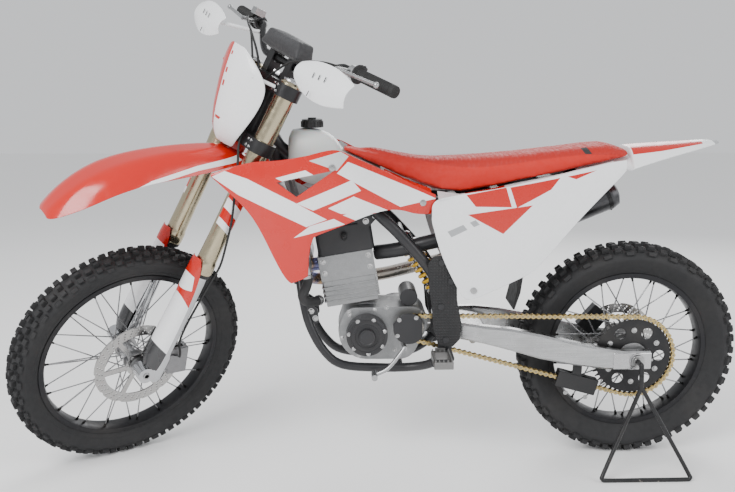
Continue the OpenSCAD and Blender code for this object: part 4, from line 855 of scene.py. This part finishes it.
# Side number panels, white with red upper films and a plain grey bar
PANEL_RED = [[(235, 825), (345, 845), (362, 790), (262, 792)],
             [(356, 845), (495, 870), (470, 838), (376, 788)],
             [(515, 873), (598, 889), (540, 865)], [(240, 770), (420, 795), (340, 715)]]
PANEL_GREY = [[(185, 722), (228, 742), (240, 728), (196, 706)],
              [(246, 748), (262, 755), (274, 742), (258, 735)]]
panel_plastic = panel("side_panels", "panel_plastic", WHITE, 0.3,
                      films=[(PANEL_RED, FILM_RED), (PANEL_GREY, FILM_GREY)])

# Lips turned in from the panels' top edges to meet the seat: x, outer height, inner height,
# seat half width, and how far out the left and right panels stand
PANEL_LIPS = [(160, 811, 829, 88, 136, 171), (223, 824, 821, 94, 138, 173), (301, 836, 835, 100, 138, 173),
              (398, 855, 855, 104, 138, 173), (440, 864, 864, 105, 138, 173),
              (514, 877, 880, 107, 130, 171), (549, 888, 889, 107, 126, 170),
              (600, 899, 900, 106, 121, 170), (650, 910, 911, 100, 116, 169)]
SHROUD_LIPS = [(12, 889, 890, 69, 124, 124), (62, 864, 867, 76, 114, 114), (93, 848, 854, 80, 110, 110),
               (142, 825, 836, 86, 110, 110)]


def lips(name, rows, finish, node):
    bm = bmesh.new()
    for side, out in ((-1, 4), (1, 5)):
        grid = bmesh.ops.create_grid(bm, x_segments=len(rows) - 1, y_segments=1, size=1)["verts"]
        grid.sort(key=lambda vert: (round(vert.co.x, 3), vert.co.y))
        for row, pair in zip(rows, zip(grid[::2], grid[1::2])):
            pair[0].co = CHASSIS @ mm(row[0], side * (row[out] - 1), row[1])
            pair[1].co = CHASSIS @ mm(row[0], side * row[3], row[2])
    bmesh.ops.solidify(bm, geom=bm.faces, thickness=0.002)
    bmesh.ops.recalc_face_normals(bm, faces=bm.faces)
    fit(name, bm, finish, node)


lips("panel_lips", PANEL_LIPS, panel_plastic, "side_panels")
lips("shroud_lips", SHROUD_LIPS, shroud_plastic, "radiator_shrouds")

# Fenders: a white rear one with a red flash, and a long red front one with a white flash
TAIL_RED = [[(716, 925), (800, 934), (925, 952), (925, 957), (716, 950)]]
TAIL_GREY = [[(956, 968), (990, 968), (990, 940), (962, 940)]]
panel("rear_fender", "tail_plastic", WHITE, 0.3, films=[(TAIL_RED, FILM_RED), (TAIL_GREY, FILM_GREY)])
FENDER_FILMS = [[(-800, 912), (-700, 932), (-700, 924)],
                [(-700, 924), (-700, 933), (-560, 943), (-560, 932)],
                [(-560, 932), (-560, 943), (-430, 944), (-415, 930)],
                [(-424, 948), (-402, 946), (-366, 895), (-372, 915)],
                [(-394, 944), (-382, 942), (-366, 918), (-366, 905)]]
panel("front_fender", "fender_plastic", RED, 0.2, STEERING, [(FENDER_FILMS, FILM_WHITE)])
flap_rubber = rubber("flap_rubber", (0.022, 0.022, 0.023), 0.6)
dress("mud_flap", flap_rubber, 0.002)
PANEL_SCREWS = [(-0.133, 0.1605, 0.905), (0.118, 0.1145, 0.800), (0.262, 0.1400, 0.552),
                (0.620, 0.1180, 0.858)]
screw = turned([(0, 0.0022), (0.003, 0.0022), (0.003, 0.0032), (0.0085, 0.0026), (0.0095, 0.0012),
                (0.0095, -0.002), (0, -0.002)], 24)
add_copies("panel_screws", "side_panels", bolt_steel, screw,
           [CHASSIS @ facing((x, -y, z), (0, -1, 0)) for x, y, z in PANEL_SCREWS])

# Tank: a translucent rotomoulded shell, milky with the fuel's shade low down, under a
# black screw cap with a knurled rim.
tank_shell = Finish("tank_shell", (0.56, 0.58, 0.57), 0.36, Subsurface_Weight=0.25, Subsurface_Scale=0.02)
level = tank_shell.parts_of(tank_shell.seen_from(CHASSIS))[2]
milk = tank_shell.mix(level.spread(0.86, 0.99), (0.36, 0.37, 0.36, 1), (0.62, 0.64, 0.63, 1))
tank_shell.worn(milk, 0.05, scuff=0.1, cells=90)
tank_shell.bump(tank_shell.noise(140, 3), 0.0003, 0.5)
moulded("fuel_tank", tank_shell)
cap_black = coated("cap_black", (0.02, 0.02, 0.021), 0.4)
CAP_RIBS = 20
cap_frame = CHASSIS @ at((-0.190, 0, 1.0014))
bm = copy_of("fuel_cap")
rib = block((0.004, 0.0035, 0.017), 0.9, 0.0006)
repeat(bm, rib, [cap_frame @ place for place in ring_of(CAP_RIBS, 0.0302)])
fit("fuel_cap_knurled", bm, cap_black, "fuel_cap", True, 0.0008)


# The seat and the bar pad: foam under a sewn cover, blown up a little by cloth simulation
# from a copy drawn in within its solid. The seat's cover has gripper ribs across its top.
CLOTH_STEPS, CLOTH_PRESSURE, PAD_INSET = 20, 4, 0.004


def swollen(name, node, finish, cell):
    """A padded piece that fills out, by at most its inset, from a smaller copy of its solid."""
    bm = copy_of(node)
    bm.normal_update()
    for vert in bm.verts:
        vert.co -= vert.normal * PAD_INSET
    obj = add_object(name, bm, finish.material)
    remesh = obj.modifiers.new("remesh", "REMESH")
    remesh.mode = "VOXEL"
    remesh.voxel_size = cell
    bm = bmesh.new()
    bm.from_object(obj, bpy.context.evaluated_depsgraph_get())
    obj.modifiers.remove(remesh)
    bmesh.ops.smooth_vert(bm, verts=bm.verts, factor=0.5, use_axis_x=True, use_axis_y=True,
                          use_axis_z=True)
    bm.to_mesh(obj.data)
    bm.free()
    start = [vert.co.copy() for vert in obj.data.vertices]
    cloth = obj.modifiers.new("cloth", "CLOTH")
    cloth.settings.use_pressure = True
    cloth.settings.uniform_pressure_force = CLOTH_PRESSURE
    cloth.settings.effector_weights.gravity = 0
    for step in range(1, CLOTH_STEPS + 1):
        bpy.context.scene.frame_set(step)
    blown = obj.evaluated_get(bpy.context.evaluated_depsgraph_get())
    ends = [vert.co.copy() for vert in blown.data.vertices]
    obj.modifiers.remove(cloth)
    bpy.context.scene.frame_set(1)
    for vert, first, last in zip(obj.data.vertices, start, ends):
        shift = last - first
        vert.co = first + shift * min(1.0, PAD_INSET / max(shift.length, 1e-6))
    obj.data.polygons.foreach_set("use_smooth", [True] * len(obj.data.polygons))
    surface = obj.modifiers.new("surface", "SUBSURF")
    surface.levels = surface.render_levels = 1
    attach(obj, frame["nodes"][node]["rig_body"])
    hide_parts(node)


seat_cover = Finish("seat_cover", (0.50, 0.010, 0.002), 0.68)
side_view = seat_cover.seen_from(CHASSIS)
along, aside, height = seat_cover.parts_of(side_view)
crown = along.spread(-0.1, 0.25, 0.945, 0.893) + along.spread(0.25, 0.60, 0.0, 0.034)
top = (height - crown).spread(-0.001, 0.003)
rib = along.math("PINGPONG", 0.0065).spread(0.001, 0.0045)
grain = seat_cover.noise(900, 3)
tag = stencil(seat_cover, side_view, [[(553, 968), (572, 968), (592, 930), (573, 930)]])
tag = tag * aside.math("ABSOLUTE").spread(0.06, 0.061)
ribbed = seat_cover.mix(top, seat_cover.colour, (0.40, 0.008, 0.002, 1))
seat_cover.worn(seat_cover.mix(tag, ribbed, (0.02, 0.02, 0.02, 1)), 0.05, scuff=0.16, cells=70)
seat_cover.bump(grain * 0.12 + top * rib, 0.0010, 0.7)
swollen("seat_padded", "seat", seat_cover, 0.006)
pad_cover = Finish("bar_pad_cover", (0.018, 0.018, 0.02), 0.62, Sheen_Weight=0.2)
threads = pad_cover.parts_of(pad_cover.seen_from(FORK))
woven = threads[1].math("PINGPONG", 0.0009) + threads[2].math("PINGPONG", 0.0009)
pad_cover.worn(dust=0.05, scuff=0.16, cells=90)
pad_cover.bump(woven * 500, 0.0003, 0.8)
swollen("bar_pad_padded", "bar_pad", pad_cover, 0.004)


# Fork: chromed lower sliders in champagne-anodised outer tubes, held by two black clamps
# with pinch bolts. Moulded guards cover the sliders, a plate the headstock.
def on_fork(u, y, w, normal):
    """A place back from, right of and up along the steering axis, in millimetres."""
    return FORK @ facing(mm(u, y, w), normal)


LEG_U, LEG_Y, AXLE_W = -22, 103, (AXLE_PLACES["front"] - STEER_FOOT).dot(steer_axis) * 1000
gold_tube = metal("gold_anodised", (0.60, 0.52, 0.36), 0.24, 500, 0.0001, (1, 1, 0.03))
chrome = metal("slider_chrome", (0.72, 0.73, 0.75), 0.09, 700, 0.00005)
# A blank slanted label on the outside of each leg
STICKER = [[(-70, 985), (20, 935), (20, 815), (-70, 865)]]
SLASHES = [[(-70, 960), (20, 910), (20, 895), (-70, 945)], [(-70, 915), (20, 865), (20, 835), (-70, 885)]]
side_view = gold_tube.seen_from(FORK)
outward = gold_tube.parts_of(side_view)[1].math("ABSOLUTE").over(LEG_Y / 1000 + 0.001)
sticker = stencil(gold_tube, side_view, STICKER) * outward
printed = gold_tube.mix(stencil(gold_tube, side_view, SLASHES), FILM_WHITE, FILM_RED)
gold_tube.worn(gold_tube.mix(sticker, gold_tube.colour, printed), 0.04, cells=60)
gold_tube.feed("Metallic", sticker.spread(0, 1, 1, 0))
dress("fork_tubes", gold_tube, 0.0008)
dress("fork_sliders", chrome, 0.0008)
dress("triple_clamps", black_alloy, 0.003)
PINCH_BOLTS = (1087, 1105, 1254, 1272)
LEG_TOP, LEG_LIP, STEM_TOP = 1293, 690.2, 1288.5
pinches = [on_fork(-58, side * (LEG_Y - dy), w, (-1, 0, 0)) for side in (-1, 1) for dy in (0, 14)
           for w in PINCH_BOLTS]
add_bolts("clamp_bolts", "triple_clamps", pinches, 0.0042, 0.005)
cap = turned([(0, 0.008), (0.009, 0.008), (0.010, 0.006), (0.016, 0.006), (0.0175, 0.004), (0.0225, 0.004),
              (0.0235, 0.002), (0.0235, -0.002), (0, -0.002)], 32)
add_copies("fork_caps", "fork_tubes", machined, cap,
           [FORK @ at(mm(LEG_U, side * LEG_Y, LEG_TOP)) for side in (-1, 1)], soften=0.0004)
seal = turned([(0.0245, 0), (0.0272, 0), (0.0285, 0.006), (0.0285, 0.010), (0.0245, 0.010)], 40, True)
add_copies("dust_wipers", "fork_tubes", hose_rubber, seal,
           [FORK @ at(mm(LEG_U, side * LEG_Y, LEG_LIP)) for side in (-1, 1)])
stem_nut = turned([(0, 0.012), (0.010, 0.012), (0.011, 0.010), (0.020, 0.010), (0.021, 0.008),
                   (0.021, -0.001), (0, -0.001)], 6)
stem_place = FORK @ at(mm(0, 0, STEM_TOP))
fit("stem_nut", moved(stem_nut, stem_place), machined, "triple_clamps", sharp=25)

# Fork guards, red over white with white edging, and the number plate, white with a red side
GUARD_RED = [[(-78, 745), (-20, 745), (8, 640), (8, 560), (-78, 640)]]
GUARD_EDGE = [[(-80, 700), (-54, 690), (-46, 650), (-80, 640)], [(4, 700), (12, 700), (12, 560), (4, 560)]]
GUARD_DARK = [[(-80, 470), (12, 425), (12, 380), (-80, 380)]]
panel("fork_guards", "guard_plastic", WHITE, 0.3, FORK,
      [(GUARD_RED, FILM_RED), (GUARD_EDGE, FILM_WHITE), (GUARD_DARK, FILM_BLACK)])
add_bolts("fork_guard_bolts", "fork_guards",
          [on_fork(-66, side * LEG_Y, AXLE_W + 52, (-1, 0, 0)) for side in (-1, 1)], 0.0042, 0.003)
PLATE_RED = [[(14, 1330), (14, 1060), (120, 1060), (120, 1330)]]
PLATE_MARKS = [[(2, 1296), (10, 1296), (10, 1286), (2, 1286)],
               [(0, 1250), (10, 1250), (10, 1236), (0, 1236)],
               [(-2, 1216), (8, 1216), (8, 1200), (-2, 1200)],
               [(-20, 1120), (8, 1120), (8, 1112), (-14, 1112)]]
panel("number_plate", "plate_plastic", WHITE, 0.3, FORK, [(PLATE_RED + PLATE_MARKS, FILM_RED)], 1)
panel("handguards", "hand_guard_plastic", WHITE, 0.28)
# Slots in the hand guards: side, distance out and height, in millimetres
VENTS = [(-1, 290, 1342), (-1, 312, 1344), (-1, 334, 1346), (-1, 300, 1296)]
VENTS += [(1, y, w) for side, y, w in VENTS]
vents = [on_fork(y * 0.1 - 137.5, side * y, w, (-1, 0, 0)) @ rotation(90, "Z") for side, y, w in VENTS]
add_copies("hand_guard_slots", "handguards", guide_black, block(mm(14, 2.4, 1.0), 0.9), vents)

# Handlebar: a black anodised bar in clamped risers, with ribbed rubber grips, forged levers
# on their perches, a switch on the left and the throttle drum on the right.
bar_black = metal("bar_anodised", (0.03, 0.03, 0.032), 0.3, 400, 0.0001, metallic=0.6)
dress("handlebar", bar_black, 0)
GRIP_WAY = Vector((18, 143, 4)).normalized()
BAR_END, GRIP_LENGTH, RIBS = Vector((54, 405, 1396)), 130, 38
grip_rubber = rubber("grip_rubber", (0.02, 0.02, 0.02), 0.7, dust=0.06)
ribs = [(0.0150 + 0.0018 * (step % 2), 0.004 + 0.0031 * step) for step in range(RIBS)]
profile = [(0.0112, -0.009), (0.0255, -0.009), (0.0260, -0.007), (0.0255, -0.004), (0.0165, 0.0)] + ribs
profile += [(0.0168, 0.128), (0.0160, 0.133), (0.0120, 0.134), (0, 0.134), (0, 0.1302), (0.0112, 0.1302)]
grips = bmesh.new()
for side in (-1, 1):
    mirror = Vector((1, side, 1))
    repeat(grips, turned(profile, 32, True), [on_fork(*((BAR_END - GRIP_WAY * GRIP_LENGTH) * mirror),
                                                      GRIP_WAY * mirror)])
fit("ribbed_grips", grips, grip_rubber, "grips", True)
dress("hand_levers", forged, 0.0012)
tips = bmesh.new()
for side in (-1, 1):
    bmesh.ops.create_uvsphere(tips, u_segments=20, v_segments=12, radius=0.008,
                              matrix=on_fork(2, side * 390, 1390, (0, side, 0)))
fit("lever_balls", tips, forged, "hand_levers")
controls = bmesh.new()
drum = turned([(0.0115, 0), (0.019, 0.001), (0.021, 0.004), (0.021, 0.022), (0.019, 0.026),
               (0.0115, 0.026)], 28, True)
start = BAR_END - GRIP_WAY * (GRIP_LENGTH + 9)
repeat(controls, drum, [on_fork(*(start - GRIP_WAY * 28), GRIP_WAY)])
switch = block((0.022, 0.020, 0.022), 0.8, 0.003)
left = (start - GRIP_WAY * 4) * Vector((1, -1, 1)) + Vector((8, 0, 6))
repeat(controls, switch, [on_fork(*left, (0.4, 0, 1))])
fit("throttle_and_switch", controls, cover_black, "hand_levers", soften=0.001)
reservoir_screws = [on_fork(u, y, 1426.2, (0, 0, 1)) for u in (4, 28) for y in (245, 259)]
add_bolts("reservoir_screws", "hand_levers", reservoir_screws, 0.0022, 0.002)
hose_black = rubber("hose_sleeve", (0.018, 0.018, 0.018), 0.45, dust=0.05)
dress("brake_hose", hose_black, 0)
CABLE_RUNS = [[(-4, -238, 1388), (-40, -200, 1375), (-62, -110, 1335), (-56, -30, 1250), (-52, -14, 1170)],
              [(16, 240, 1392), (-30, 200, 1378), (-60, 110, 1345), (-56, 34, 1255), (-52, 14, 1170)]]


def cable(bm, points, radius, steps=8):
    """A round cable bent smoothly through points of the steering frame, in millimetres."""
    points = [Vector(point) for point in points]
    ends = [points[0] * 2 - points[1]] + points + [points[-1] * 2 - points[-2]]
    path = []
    for a, b, c, d in zip(ends, ends[1:], ends[2:], ends[3:]):
        for step in range(steps):
            t = step / steps
            path.append((b * 2 + (c - a) * t + (a * 2 - b * 5 + c * 4 - d) * t * t
                         + (b * 3 - a - c * 3 + d) * t * t * t) / 2)
    path.append(points[-1])
    places = [on_fork(*place, after - place) for place, after in zip(path, path[1:])]
    rim = bmesh.ops.create_circle(bm, segments=12, radius=radius, matrix=places[0])["verts"]
    edges = list(dict.fromkeys(edge for vert in rim for edge in vert.link_edges))
    for before, place in zip(places, places[1:]):
        grown = bmesh.ops.extrude_edge_only(bm, edges=edges)["geom"]
        rim = [item for item in grown if isinstance(item, bmesh.types.BMVert)]
        edges = list(dict.fromkeys(edge for vert in rim for edge in vert.link_edges
                                   if edge.other_vert(vert) in rim))
        bmesh.ops.transform(bm, matrix=place @ before.inverted(), verts=rim)
    bmesh.ops.holes_fill(bm, edges=bm.edges)
    bmesh.ops.recalc_face_normals(bm, faces=bm.faces)


cables = bmesh.new()
for run in CABLE_RUNS:
    cable(cables, run, 0.0032)
fit("control_cables", cables, hose_black, "handlebar")

# Prop stand: a bent black rod welded at its neck, its pin in the rear axle
stand_black = coated("stand_powder_coat", (0.016, 0.016, 0.017), 0.3)
chips = stand_black.noise(70, 5).spread(0.66, 0.72)
low = stand_black.parts_of(stand_black.point)[2].spread(0.0, 0.08, 1.0, 0.15)
stand_black.worn(stand_black.mix(chips * low, stand_black.colour, (0.25, 0.22, 0.19, 1)), 0.08)
dress("wheel_stand", stand_black, 0, 60)
